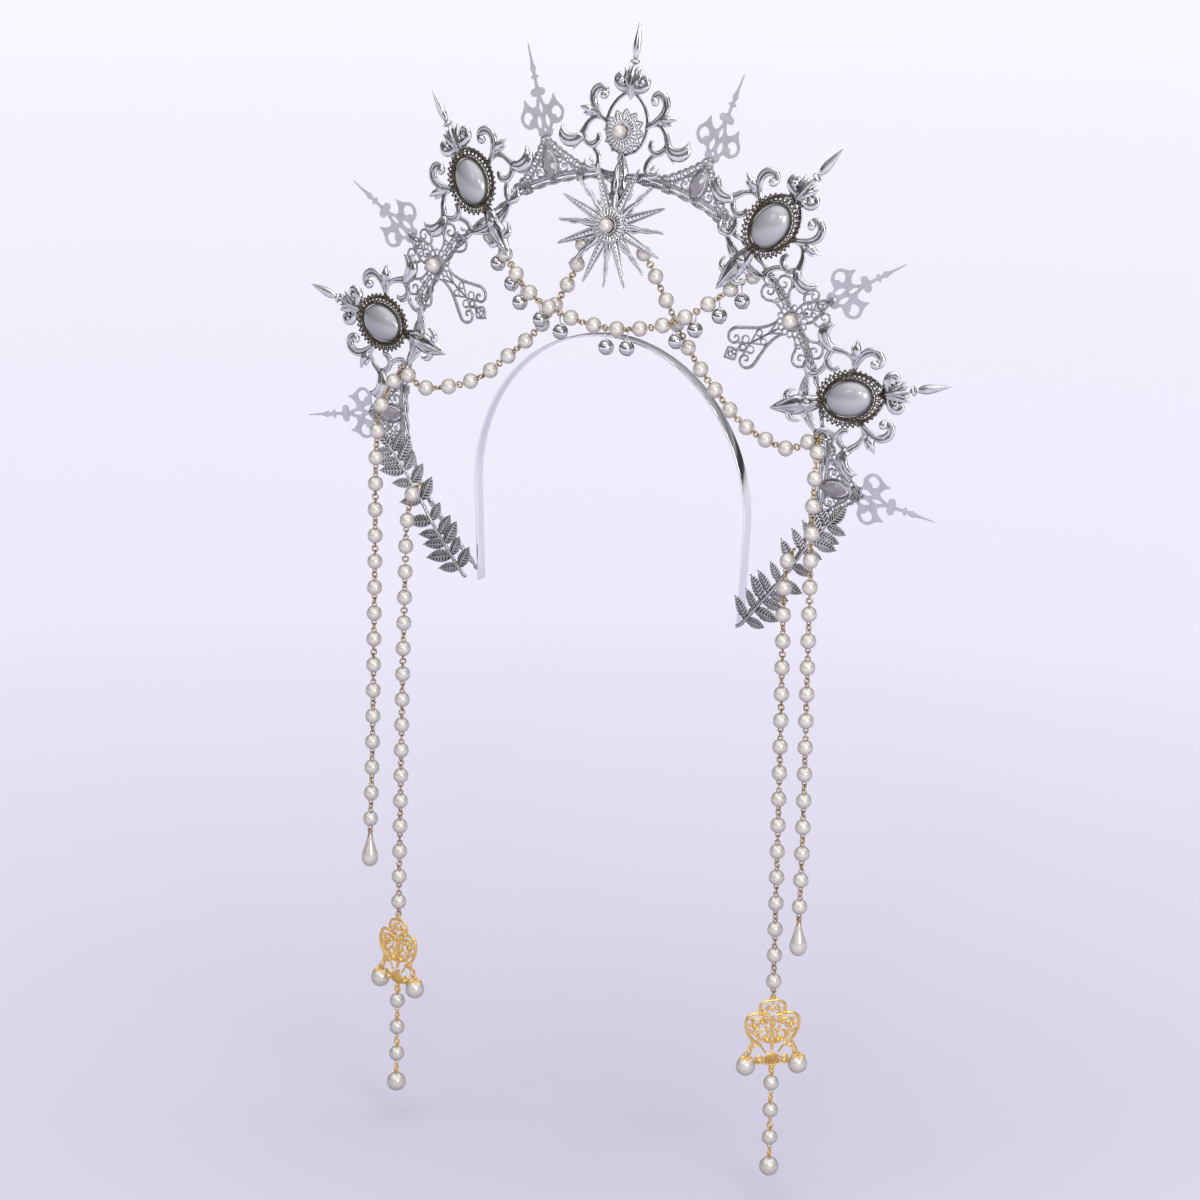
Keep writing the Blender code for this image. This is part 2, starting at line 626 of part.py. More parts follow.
def hand_curve():
    """A pierced clock hand, drawn from its foot to its point."""
    holes = [on_grid(hole, HAND_GRID, HAND_WIDTH, HAND_LENGTH) for hole in HAND_HOLES]
    eye = on_grid(HAND_EYE, HAND_GRID, HAND_WIDTH, HAND_LENGTH)
    edge = on_grid(HAND_EDGE, HAND_GRID, HAND_WIDTH, HAND_LENGTH)
    return plate("clock_hand", [mirrored(edge)] + both_sides(holes) + [mirrored(eye)], HAND_THICKNESS)


def clock_hands():
    """Six hands behind the points of the lace and of the crosses."""
    hand = hand_curve()
    lace_tip = LACE_EDGE[-1][1] * LACE_HEIGHT / LACE_GRID[1]
    cross_tip = CROSS_EDGE[-1][1] * CROSS_LENGTH / CROSS_GRID[1]
    lean = SPIRE_DISH - HAND_DISH
    lace_front = -LACE_THICKNESS / 2 - GAP
    cross_front = (cross_back() - GAP) * math.cos(lean) - cross_tip * math.sin(lean)
    for index, name, overlap, turn in HAND_SEATS:
        tip, front = (cross_tip, cross_front) if index == CROSS_STEP else (lace_tip, lace_front)
        for side, way in (("left", -1), ("right", 1)):
            seat = on_ring(way * index * ORNAMENT_STEP, HAND_DISH, tip - overlap, front - HAND_THICKNESS / 2)
            place = seat @ Matrix.Rotation(-way * math.radians(turn), 4, "Z")
            add("clock_hand_" + side + name, hand, "satin_silver", place)


def crosses():
    """Two pierced crosses on the ring, each with a pearl at its middle."""
    holes = [on_grid(hole, CROSS_GRID, CROSS_WIDTH, CROSS_LENGTH) for hole in CROSS_HOLES]
    edge = mirrored(on_grid(CROSS_EDGE, CROSS_GRID, CROSS_WIDTH, CROSS_LENGTH))
    cross = plate("cross", [edge] + both_sides(holes), CROSS_THICKNESS)
    pearl = dome("cross_pearl", CROSS_PEARL_RADIUS * 2, CROSS_PEARL_RADIUS * 2,
                 CROSS_PEARL_RADIUS * 1.6, 10, 6, 0.6)
    back = cross_back()
    for way, name in ((-1, "left"), (1, "right")):
        angle = way * CROSS_STEP * ORNAMENT_STEP
        add("cross_" + name, cross, "antique_silver",
            on_ring(angle, SPIRE_DISH, 0, back + CROSS_THICKNESS / 2))
        add("cross_pearl_" + name, pearl, "ivory_pearl",
            on_ring(angle, SPIRE_DISH, 0, back + CROSS_THICKNESS + GAP))


def laurel_mesh():
    """A curved stem with pairs of pointed leaves and one leaf at its end."""
    stem = [Vector((x * LAUREL_LENGTH, y * LAUREL_LENGTH, 0))
            for x, y in ((-0.012, -0.045), (0, 0), (0.012, 0.30), (0.005, 0.55), (0.02, 0.86))]
    pieces = [solid_tube("stem", stem, [LAUREL_STEM] * len(stem), 4)]
    line = smooth(stem, LAUREL_PAIRS)
    leaves = [(line[-2], math.radians(4))]
    for pair in range(LAUREL_PAIRS):
        share = 0.3 + 0.66 * pair / (LAUREL_PAIRS - 1)
        root = line[round(share * (len(line) - 1))]
        leaves += [(root, math.radians(62)), (root, math.radians(-66))]
    for root, turn in leaves:
        along = Vector((math.sin(turn), math.cos(turn), 0))
        points = [root + along * LAUREL_LEAF_LENGTH * share for share in (0.02, 0.5, 1.0)]
        radii = [LAUREL_LEAF_WIDTH / 2 * share for share in (0.16, 1.0, 0.08)]
        pieces.append(solid_tube("leaf", points, radii, 4, 2 * LAUREL_HALF_DEPTH / LAUREL_LEAF_WIDTH))
    return fuse("laurel", pieces)


def laurels():
    """A spray on each side, in front of the ring's lower end."""
    mesh = laurel_mesh()
    foot = (halo().inverted() @ ring_foot()).xy + LAUREL_FOOT_STEP
    reach = RING_RADIUS + LAUREL_AIM_OUT
    aim = Vector((reach * math.sin(LAUREL_AIM_TURN), reach * math.cos(LAUREL_AIM_TURN))) - foot
    right = (halo() @ Matrix.Translation((*foot, LAUREL_FRONT))
             @ Matrix.Rotation(-math.atan2(aim.x, aim.y), 4, "Z"))
    add("laurel_right", mesh, "gunmetal", right)
    turned = mesh.copy()
    turned.transform(right)
    turned.transform(Matrix.Diagonal((-1, 1, 1, 1)))
    turned.flip_normals()
    add("laurel_left", turned, "gunmetal")


def lengths(points):
    """The distance of each point along the line."""
    total = [0.0]
    for start, end in zip(points, points[1:]):
        total.append(total[-1] + (end - start).length)
    return total


def along(points, distance):
    """The point at a distance along the line."""
    total = lengths(points)
    for start, end, low, high in zip(points, points[1:], total, total[1:]):
        if distance <= high:
            return start.lerp(end, (distance - low) / (high - low))
    return points[-1]


def bead_string(route):
    """Pearls evenly spaced on wire along a smooth route: points, radii and the links between."""
    line = smooth(route, 8)
    total = lengths(line)[-1]
    count = round(total / PEARL_PITCH)
    pitch = total / count
    points = [line[0]]
    radii = [CHAIN_WIRE]
    for bead in range(count):
        middle = (bead + 0.5) * pitch
        for angle in BEAD_RINGS:
            points.append(along(line, middle + PEARL_RADIUS * math.sin(math.radians(angle))))
            radii.append(PEARL_RADIUS * math.cos(math.radians(angle)))
    points.append(line[-1])
    radii.append(CHAIN_WIRE)
    return points, radii, [along(line, step * pitch) for step in range(1, count)]


def strand(name, route):
    """A string of pearls drawn as one smooth tube of their width, with bare wire at its ends."""
    line = smooth(route, 8)
    total = lengths(line)[-1]
    neck = PEARL_PITCH / 2 - PEARL_RADIUS
    shoulder = neck + PEARL_RADIUS * 0.8
    spans = round((total - 2 * shoulder) / STRAND_KNOT_PITCH)
    body = [shoulder + (total - 2 * shoulder) * step / spans for step in range(spans + 1)]
    points = [along(line, distance) for distance in [0, neck] + body + [total - neck, total]]
    radii = [CHAIN_WIRE] * 2 + [PEARL_RADIUS] * len(body) + [CHAIN_WIRE] * 2
    hang(name, points, radii, 8)


def hang(name, points, radii, sides):
    """Add a string or a drop as a tube in pearl."""
    add(name, tube(name, points, radii, sides), "ivory_pearl")


def other_side(points):
    """Mirror image across the middle of the crown."""
    return [Vector((-point.x, point.y, point.z)) for point in points]


def swag():
    """The pearl chain slung between the upper spires, with bells on its links."""
    angle = 2 * ORNAMENT_STEP + SWAG_TIE_TURN
    reach = RING_RADIUS - RING_WIRE - GAP - CHAIN_WIRE
    tie = halo() @ Vector((reach * math.sin(angle), reach * math.cos(angle), 0))
    half = [Vector(point) for point in SWAG_ROUTE] + [tie]
    points, radii, links = bead_string(other_side(half[:0:-1]) + half)
    pieces = [solid_tube("pearls", points, radii, 10)]
    for index, link in enumerate(links):
        if index in BARE_LINKS:
            continue
        line = [link - Vector((0, 0, share * BELL_DROP)) for share, _ in BELL_ROWS]
        pieces.append(solid_tube("bell", line, [share * BELL_RADIUS for _, share in BELL_ROWS], 4))
    add("pearl_swag", fuse("pearl_swag", pieces), "ivory_pearl")


def chain_end():
    """Where the right star chain ends, in front of the lower spire's stem."""
    grip = SPIRE_STOCK * SPIRE_FLATNESS + GAP + CHAIN_WIRE
    return on_ring(4 * ORNAMENT_STEP, SPIRE_DISH, 0, spire_middle() + grip) @ Vector(
        (17 * SPIRE_WIDTH / SPIRE_GRID[0], -0.8 * SPIRE_LENGTH / SPIRE_GRID[1], 0))


def star_chains():
    """A pearl chain from behind the star to each lower spire."""
    ray = -math.tau * 5 / STAR_RAYS
    reach = STAR_RADIUS * 0.52
    start = star_place() @ Vector((-reach * math.sin(ray), reach * math.cos(ray), -GAP - CHAIN_WIRE))
    route = [start] + [Vector(point) for point in STAR_CHAIN_ROUTE] + [chain_end()]
    strand("star_chain_right", route)
    strand("star_chain_left", other_side(route))


def outer_strands():
    """The outer strand under each star chain's end and the teardrop pearl that ends it."""
    tie = chain_end() - Vector((0, 0, CHAIN_WIRE * 1.6 + GAP))
    for name, turn in (("right", list), ("left", other_side)):
        route = turn([tie] + [Vector(point) for point in OUTER_STRAND_ROUTE])
        strand("outer_strand_" + name, route)
        top = route[-1] - Vector((0, 0, GAP))
        points = [top - Vector((0, 0, share * TEARDROP_LENGTH)) for share, _ in TEARDROP_ROWS]
        hang("teardrop_" + name, points, [share * TEARDROP_RADIUS for _, share in TEARDROP_ROWS], 10)


def filigree_curve():
    """A pierced gold connector, drawn down from its top."""
    edge = on_grid(FILIGREE_EDGE, FILIGREE_GRID, FILIGREE_WIDTH, FILIGREE_HEIGHT)
    holes = [on_grid(hole, FILIGREE_GRID, FILIGREE_WIDTH, FILIGREE_HEIGHT) for hole in FILIGREE_HOLES]
    return plate("filigree", [mirrored(edge)] + both_sides(holes), FILIGREE_THICKNESS)


def end_pearls(name, top):
    """The short row of pearls under the filigree, the last one larger and on a longer link."""
    points = [top]
    radii = [CHAIN_WIRE]
    link = (PEARL_PITCH - 2 * PEARL_RADIUS) / 2
    height = top.z
    for radius in (PEARL_RADIUS, PEARL_RADIUS, PEARL_RADIUS, END_PEARL_RADIUS):
        height -= radius + link
        for angle in reversed(BEAD_RINGS):
            points.append(Vector((top.x, top.y, height + radius * math.sin(math.radians(angle)))))
            radii.append(radius * math.cos(math.radians(angle)))
        height -= radius + link * 1.4
    hang("end_pearls_" + name, points, radii, 10)


def side_pearl(name, place, way):
    """A pearl that hangs beside the filigree's foot on its own ring."""
    middle = place @ Vector((way * FILIGREE_PEARL_PLACE.x, FILIGREE_PEARL_PLACE.y, 0))
    points = [place @ Vector((way * FILIGREE_LOOP.x, FILIGREE_LOOP.y, 0))]
    radii = [CHAIN_WIRE]
    for angle in reversed(BEAD_RINGS):
        rise = FILIGREE_PEARL_RADIUS * math.sin(math.radians(angle))
        points.append(middle + Vector((0, 0, rise)))
        radii.append(FILIGREE_PEARL_RADIUS * math.cos(math.radians(angle)))
    hang(name, points, radii, 10)


def inner_strands():
    """The inner strand on each side with its filigree, side pearls and end pearls."""
    curve = filigree_curve()
    for name, turn, way in (("right", list, 1), ("left", other_side, -1)):
        route = turn([Vector(point) for point in INNER_STRAND_ROUTE])
        strand("inner_strand_" + name, route)
        top = route[-1] - Vector((0, 0, GAP))
        facing = (Matrix.Translation(top) @ Matrix.Rotation(FILIGREE_TURNS[name], 4, "Z")
                  @ Matrix.Rotation(math.pi / 2, 4, "X"))
        add("filigree_" + name, curve, "gold", facing)
        end_pearls(name, top - Vector((0, 0, FILIGREE_HEIGHT + GAP)))
        side_pearl("side_pearl_" + name + "_outer", facing, way)
        side_pearl("side_pearl_" + name + "_inner", facing, -way)


def build():
    """Make every piece of the crown."""
    clear_scene()
    collection(CROWN)
    collection(CUTTERS)
    head_band()
    halo_ring()
    spires()
    settings()
    centre_flower()
    star()
    lace_triangles()
    clock_hands()
    crosses()
    laurels()
    swag()
    star_chains()
    outer_strands()
    inner_strands()


build()
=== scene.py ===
import math
import bpy
from mathutils import Matrix, Vector


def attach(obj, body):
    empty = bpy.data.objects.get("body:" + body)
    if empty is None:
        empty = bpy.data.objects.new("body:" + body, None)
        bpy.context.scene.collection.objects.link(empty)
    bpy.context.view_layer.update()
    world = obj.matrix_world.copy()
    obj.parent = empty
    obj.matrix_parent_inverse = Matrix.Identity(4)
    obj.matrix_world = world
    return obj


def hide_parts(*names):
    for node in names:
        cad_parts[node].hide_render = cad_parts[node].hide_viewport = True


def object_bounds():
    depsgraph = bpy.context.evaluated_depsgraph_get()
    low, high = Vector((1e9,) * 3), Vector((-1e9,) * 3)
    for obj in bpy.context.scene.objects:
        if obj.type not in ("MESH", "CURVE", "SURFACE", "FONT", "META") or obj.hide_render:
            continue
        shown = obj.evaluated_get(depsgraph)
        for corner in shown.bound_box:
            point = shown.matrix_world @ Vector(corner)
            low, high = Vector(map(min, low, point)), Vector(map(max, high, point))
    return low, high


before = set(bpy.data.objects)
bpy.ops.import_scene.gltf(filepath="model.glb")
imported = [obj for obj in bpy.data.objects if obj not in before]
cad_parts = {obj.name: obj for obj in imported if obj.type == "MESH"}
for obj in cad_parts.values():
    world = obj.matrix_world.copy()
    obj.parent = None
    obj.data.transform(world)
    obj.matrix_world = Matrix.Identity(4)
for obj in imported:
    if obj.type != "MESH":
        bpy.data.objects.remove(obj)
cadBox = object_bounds()
print("frame loaded")

# everything is drawn in millimetres, flat: x across, y away from the ring's centre, z to the front
toMetres = Matrix.Scale(0.001, 4)
crown = {
    "ringRadius": 124.0, "ringWire": 1.5, "ringCentre": (0.0, -2.0, -44.0), "ringLean": 3.4,
    "step": 19.2, "spireDish": 8.0, "flatDish": 3.0, "centreLift": 6.5, "spireMiddle": 3.2,
    "spireDepth": 0.992, "secondLayer": 4.9, "crossBack": 4.49, "gap": 0.3, "chainWire": 0.8,
}


# small helpers

def letGo():
    for item in list(bpy.context.selected_objects):
        item.select_set(False)


def hold(items):
    letGo()
    for item in items:
        item.select_set(True)
    bpy.context.view_layer.objects.active = items[0]


def joined(items):
    hold(items)
    if len(items) > 1:
        bpy.ops.object.join()
    return bpy.context.object


def copies(seed, places):
    made = []
    for place in places:
        twin = seed.copy()
        twin.data = seed.data.copy()
        twin.data.transform(place)
        if place.determinant() < 0:
            twin.data.flip_normals()
        bpy.context.collection.objects.link(twin)
        made.append(twin)
    bpy.data.objects.remove(seed)
    return made


def bentLine(rows, steps=4, closed=False):
    # a smooth line through given rows of x, y, z, radius
    rows = [Vector(row) for row in rows]
    padded = [2 * rows[0] - rows[1]] + rows + [2 * rows[-1] - rows[-2]]
    if closed:
        padded = [rows[-1]] + rows + rows[:2]
    line = []
    for before, start, end, after in zip(padded, padded[1:], padded[2:], padded[3:]):
        for step in range(steps):
            t = step / steps
            bend = (2 * before - 5 * start + 4 * end - after) * t ** 2
            turn = (3 * start - before - 3 * end + after) * t ** 3
            line.append((2 * start + (end - before) * t + bend + turn) / 2)
    return line if closed else line + [rows[-1]]


def drawCurve(lines, closed, dimensions):
    # a curve with one line for each list of x, y, z, radius
    letGo()
    bpy.ops.curve.primitive_nurbs_path_add(location=(0, 0, 0))
    drawn = bpy.context.object
    drawn.data.splines.clear()
    drawn.data.dimensions = dimensions
    for points in lines:
        spline = drawn.data.splines.new("POLY")
        spline.points.add(len(points) - 1)
        spline.use_cyclic_u = closed
        for knot, point in zip(spline.points, points):
            knot.co = (*point[:3], 1.0)
            knot.radius = max(point[3], 0.04)
    return drawn


def asMesh(drawn):
    hold([drawn])
    bpy.ops.object.convert(target="MESH")
    return bpy.context.object


def wires(lines, sides=8, steps=4, closed=False, flat=1.0):
    # round wire along each line, as one mesh
    if steps > 1:
        lines = [bentLine(rows, steps, closed) for rows in lines]
    lines = [[(row[0], row[1], row[2] / flat, row[3]) for row in rows] for rows in lines]
    drawn = drawCurve(lines, closed, "3D")
    drawn.data.bevel_depth = 1.0
    drawn.data.bevel_resolution = (sides - 4) // 2
    drawn.data.use_fill_caps = True
    made = asMesh(drawn)
    made.data.transform(Matrix.Diagonal((1, 1, flat, 1)))
    made.data.shade_smooth()
    return made


def bothSides(lines):
    return [[(side * row[0], *row[1:]) for row in rows] for rows in lines for side in (1, -1)]


def mirrored(rows):
    return [(side * row[0], *row[1:]) for row in rows for side in (1, -1)]


def spun(degrees, axis="Z"):
    return Matrix.Rotation(math.radians(degrees), 4, axis)


def spokes(count, way=1):
    # the turns that spread so many copies round a middle
    return [Matrix.Rotation(way * math.tau * index / count, 4, "Z") for index in range(count)]


def heavier(lines, share):
    return [[(x, y, z, r * share) for x, y, z, r in rows] for rows in lines]


def turnRows(rows, turn):
    return [(*(turn @ Vector((row[0], row[1], 0)))[:2], *row[2:]) for row in rows]


def globe(segments, rings, radius=1.0):
    letGo()
    bpy.ops.mesh.primitive_uv_sphere_add(segments=segments, ring_count=rings, radius=radius,
                                         location=(0, 0, 0))
    bpy.context.object.data.shade_smooth()
    return bpy.context.object


def disc(vertices, radius, depth, middle):
    letGo()
    bpy.ops.mesh.primitive_cylinder_add(vertices=vertices, radius=radius, depth=depth,
                                        location=(0, 0, middle))
    bpy.ops.object.transform_apply(location=True, rotation=True, scale=True)
    return bpy.context.object


def cutLevel(height, **kept):
    # cut the held piece level at a height and keep one side of it
    bpy.ops.object.mode_set(mode="EDIT")
    bpy.ops.mesh.select_all(action="SELECT")
    bpy.ops.mesh.bisect(plane_co=(0, 0, height), plane_no=(0, 0, 1), **kept)
    bpy.ops.object.mode_set(mode="OBJECT")


def balls(rows, detail=2, squash=1.0):
    letGo()
    bpy.ops.mesh.primitive_ico_sphere_add(subdivisions=detail, radius=1.0, location=(0, 0, 0))
    bpy.context.object.data.shade_smooth()
    flatter = Matrix.Diagonal((1, 1, squash, 1))
    places = [Matrix.Translation(row[:3]) @ Matrix.Scale(row[3], 4) @ flatter for row in rows]
    return joined(copies(bpy.context.object, places))


def hoops(rows, thick=0.4, segments=14, sides=6):
    # rings lying in the plane: x, y, z, radius
    thin = 0.1
    letGo()
    bpy.ops.mesh.primitive_torus_add(major_radius=1.0, minor_radius=thin, major_segments=segments,
                                     minor_segments=sides, location=(0, 0, 0))
    bpy.context.object.data.shade_smooth()
    made = copies(bpy.context.object, [Matrix()] * len(rows))
    for hoop, row in zip(made, rows):
        for vertex in hoop.data.vertices:
            middle = Vector((vertex.co.x, vertex.co.y, 0)).normalized()
            vertex.co = middle * row[3] + (vertex.co - middle) * (thick / thin)
        hoop.data.transform(Matrix.Translation(row[:3]))
    return joined(made)


def plate(outlines, half, edge):
    # sheet cut to a smooth outline with holes, its rims softened
    lines = [bentLine([(x, y, 0, 1) for x, y in rows], 3, True) for rows in outlines]
    drawn = drawCurve(lines, True, "2D")
    drawn.data.fill_mode = "BOTH"
    drawn.data.extrude = half - edge
    drawn.data.bevel_depth = edge
    drawn.data.bevel_resolution = 1
    drawn.data.offset = -edge
    return asMesh(drawn)


def mirroredOutline(half):
    return list(half) + [(-x, y) for x, y in reversed(half) if x > 0]


def castTogether(piece, voxel, keep):
    # melt overlapping wires into one casting with soft joints
    hold([piece])
    melt = piece.modifiers.new("melt", "REMESH")
    melt.mode = "VOXEL"
    melt.voxel_size = voxel
    melt.use_smooth_shade = True
    soften = piece.modifiers.new("soften", "SMOOTH")
    soften.factor = 0.5
    soften.iterations = 1
    thin = piece.modifiers.new("thin", "DECIMATE")
    thin.ratio = keep
    for name in ("melt", "soften", "thin"):
        bpy.ops.object.modifier_apply(modifier=name)
    piece.data.shade_smooth()
    return piece


def onRing(steps, dish, height=0.0, front=0.0):
    # the frame of an ornament so many steps round the ring
    return (haloPlane() @ spun(-steps * crown["step"]) @ Matrix.Translation((0, crown["ringRadius"], 0))
            @ spun(-dish, "X") @ Matrix.Translation((0, height, front)))


def haloPlane():
    return Matrix.Translation(crown["ringCentre"]) @ spun(90 - crown["ringLean"], "X")


def settle(piece, name, finish, place=Matrix()):
    # put a finished piece at its place on the crown, in metres, and let it stand for its node
    piece.data.transform(place)
    piece.data.transform(toMetres)
    piece.name = name
    piece.data.name = name
    if not piece.data.materials:
        piece.data.materials.append(bpy.data.materials[finish])
    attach(piece, "root")
    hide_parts(name.replace("look_", ""))


def twins(piece, spots, finish, prefix):
    # one finished piece settled at several places
    made = copies(piece, [place for _, place in spots])
    for twin, (spot, _) in zip(made, spots):
        settle(twin, "look_" + prefix + spot, finish)


def paint(piece, finish):
    piece.data.materials.clear()
    piece.data.materials.append(bpy.data.materials[finish])
    return piece


# finishes

grainDepth = 0.0001    # in metres


def feed(tree, socket, value):
    if isinstance(value, bpy.types.NodeSocket):
        tree.links.new(value, socket)
    else:
        socket.default_value = value


def addNode(tree, kind, values={}, **settings):
    # each input in values gets a number or a link from another node
    node = tree.nodes.new("ShaderNode" + kind)
    for label, setting in settings.items():
        setattr(node, label, setting)
    for label, value in values.items():
        feed(tree, node.inputs[label], value)
    return node


def newGroup(name, inputs, outputs):
    tree = bpy.data.node_groups.new(name, "ShaderNodeTree")
    for label, value in inputs.items():
        socket = tree.interface.new_socket(name=label, in_out="INPUT", socket_type="NodeSocketFloat")
        socket.default_value = value
    for label in outputs:
        tree.interface.new_socket(name=label, in_out="OUTPUT", socket_type="NodeSocketFloat")
    return tree, tree.nodes.new("NodeGroupInput").outputs, tree.nodes.new("NodeGroupOutput").inputs


def creaseShadeAndTarnishGroup():
    # 1 on ridges, 0 in the creases, where the dark crease colour paints shade in; Patch is random patches of
    # tone
    tree, given, result = newGroup("creaseShadeAndTarnish", {"Spread": 0.05, "Patch Size": 400.0}, ("Ridge", "Patch"))
    shape = addNode(tree, "NewGeometry").outputs["Pointiness"]
    low = addNode(tree, "Math", {0: 0.5, 1: given["Spread"]}, operation="SUBTRACT").outputs[0]
    high = addNode(tree, "Math", {0: given["Spread"], 1: 0.5, 2: 0.5}, operation="MULTIPLY_ADD").outputs[0]
    ridge = addNode(tree, "MapRange", {"Value": shape, "From Min": low, "From Max": high})
    place = addNode(tree, "TexCoord").outputs["Object"]
    cloud = addNode(tree, "TexNoise", {"Vector": place, "Scale": given["Patch Size"], "Detail": 3.0})
    patch = addNode(tree, "MapRange", {"Value": cloud.outputs["Fac"], "From Min": 0.35, "From Max": 0.65})
    feed(tree, result["Ridge"], ridge.outputs["Result"])
    feed(tree, result["Patch"], patch.outputs["Result"])
    return tree


def grainGroup():
    # fine unevenness for bump and gloss
    tree, given, result = newGroup("castGrain", {"Size": 2500.0}, ("Height", "Gloss"))
    place = addNode(tree, "TexCoord").outputs["Object"]
    for detail, label, factor in ((4.0, "Height", 1.0), (2.0, "Gloss", 0.3)):
        scale = addNode(tree, "Math", {0: given["Size"], 1: factor}, operation="MULTIPLY").outputs[0]
        noise = addNode(tree, "TexNoise", {"Vector": place, "Scale": scale, "Detail": detail})
        feed(tree, result[label], noise.outputs["Fac"])
    return tree


creaseShadeAndTarnish = creaseShadeAndTarnishGroup()
castGrain = grainGroup()


def blendColours(tree, factor, dark, light):
    mix = addNode(tree, "Mix", {0: factor}, data_type="RGBA")
    for index, colour in ((6, dark), (7, light)):
        feed(tree, mix.inputs[index], (*colour, 1.0) if isinstance(colour, tuple) else colour)
    return mix.outputs[2]


def spread(tree, value, low, high):
    return addNode(tree, "MapRange", {"Value": value, "To Min": low, "To Max": high}).outputs["Result"]


def newFinish(name, values):
    finish = bpy.data.materials.new(name)
    finish.use_nodes = True
    shader = finish.node_tree.nodes["Principled BSDF"].inputs
    for label, value in values.items():
        shader[label].default_value = value
    return finish.node_tree, shader


def addFacing(tree, blend):
    return addNode(tree, "LayerWeight", {"Blend": blend}).outputs["Facing"]


def addGrain(tree, shader, size, glossy, dull, bumpy):
    # uneven gloss and a slight bump; the gloss mask also tints pearls
    grain = addNode(tree, "Group", {"Size": size}, node_tree=castGrain).outputs
    feed(tree, shader["Roughness"], spread(tree, grain["Gloss"], glossy, dull))
    if bumpy:
        bump = addNode(tree, "Bump", {"Strength": bumpy, "Distance": grainDepth, "Height": grain["Height"]})
        feed(tree, shader["Normal"], bump.outputs["Normal"])
    return grain["Gloss"]


def startMetal(name, glossy, dull, creaseSpread, patchSize, bumpy):
    # bare metal, and the masks that its colours are mixed by: painted shade in the creases, and random
    # patches
    tree, shader = newFinish(name, {"Metallic": 1.0})
    addGrain(tree, shader, 2500.0, glossy, dull, bumpy)
    creaseShadeAndPatches = addNode(tree, "Group", {"Spread": creaseSpread, "Patch Size": patchSize}, node_tree=creaseShadeAndTarnish)
    return tree, shader, creaseShadeAndPatches.outputs["Ridge"], creaseShadeAndPatches.outputs["Patch"]


metalLooks = {
    # light, dark, painted shade in the creases, rough from, rough to, crease spread, patch size, bump
    "brightSilver": ((0.78, 0.78, 0.8), (0.62, 0.62, 0.64),
                     (0.02, 0.02, 0.02), 0.13, 0.24, 0.055, 220, 0.1),
    "antiqueSilver": ((0.62, 0.61, 0.62), (0.4, 0.39, 0.4), (0.02, 0.02, 0.02), 0.2, 0.34, 0.06, 380, 0.2),
    "laceSilver": ((0.52, 0.51, 0.52), (0.3, 0.29, 0.3), (0.02, 0.02, 0.02), 0.2, 0.36, 0.06, 500, 0.2),
    "satinSilver": ((0.75, 0.75, 0.8), (0.68, 0.68, 0.73),
                    (0.34, 0.34, 0.37), 0.46, 0.58, 0.12, 160, 0.08),
    "darkBronze": ((0.16, 0.145, 0.1), (0.07, 0.06, 0.04),
                   (0.01, 0.01, 0.008), 0.26, 0.44, 0.05, 600, 0.2),
    "gold": ((0.76, 0.52, 0.2), (0.44, 0.27, 0.07), (0.05, 0.025, 0.005), 0.12, 0.24, 0.045, 400, 0.1),
    "chrome": ((0.74, 0.74, 0.77), (0.66, 0.66, 0.69), (0.5, 0.5, 0.53), 0.04, 0.1, 0.2, 60, 0.02),
    "champagne": ((0.62, 0.5, 0.33), (0.46, 0.35, 0.2), (0.12, 0.08, 0.04), 0.16, 0.3, 0.1, 300, 0.1),
    "flowerSilver": ((0.86, 0.86, 0.86), (0.66, 0.66, 0.66), (0.1, 0.1, 0.1), 0.12, 0.24, 0.06, 500, 0.1),
    "mirrorSilver": ((0.64, 0.64, 0.65), (0.5, 0.5, 0.51), (0.06, 0.06, 0.06), 0.04, 0.1, 0.08, 200, 0.02),
}
paintedEdgeShadeAndTint = {"from": 0.45, "to": 0.95, "darker": 0.22, "tint": (0.25, 0.25, 0.26, 1)}


def metalFinish(name, light, dark, paintedCreaseShade, *surface):
    tree, shader, ridge, patch = startMetal(name, *surface)
    # painted shade: the creases take the dark crease colour
    face = blendColours(tree, ridge, paintedCreaseShade, blendColours(tree, patch, dark, light))
    # painted shade: the base colour darkens where the metal turns away from the view, standing in for the
    # dark outline that polished castings show against a pale wall
    away = addNode(tree, "MapRange", {"Value": addFacing(tree, 0.5), "From Min": paintedEdgeShadeAndTint["from"],
                                      "From Max": paintedEdgeShadeAndTint["to"]}).outputs["Result"]
    edge = tuple(value * paintedEdgeShadeAndTint["darker"] for value in light)
    feed(tree, shader["Base Color"], blendColours(tree, away, face, edge))
    feed(tree, shader["Specular Tint"], paintedEdgeShadeAndTint["tint"])


def leafFinish():
    # darker grey low on the spray, silver grey towards its tip, changing with height
    tree, shader, ridge, patch = startMetal("leafMetal", 0.16, 0.30, 0.035, 300.0, 0.2)
    split = addNode(tree, "SeparateXYZ", {0: addNode(tree, "TexCoord").outputs["Object"]})
    height = addNode(tree, "MapRange", {"Value": split.outputs["Z"], "From Min": -0.125, "From Max": -0.085})
    low = blendColours(tree, patch, (0.34, 0.34, 0.34), (0.48, 0.48, 0.48))
    high = blendColours(tree, patch, (0.56, 0.55, 0.55), (0.72, 0.71, 0.71))
    face = blendColours(tree, height.outputs["Result"], low, high)
    # painted shade: the creases turn near black
    feed(tree, shader["Base Color"], blendColours(tree, ridge, (0.02, 0.02, 0.02), face))


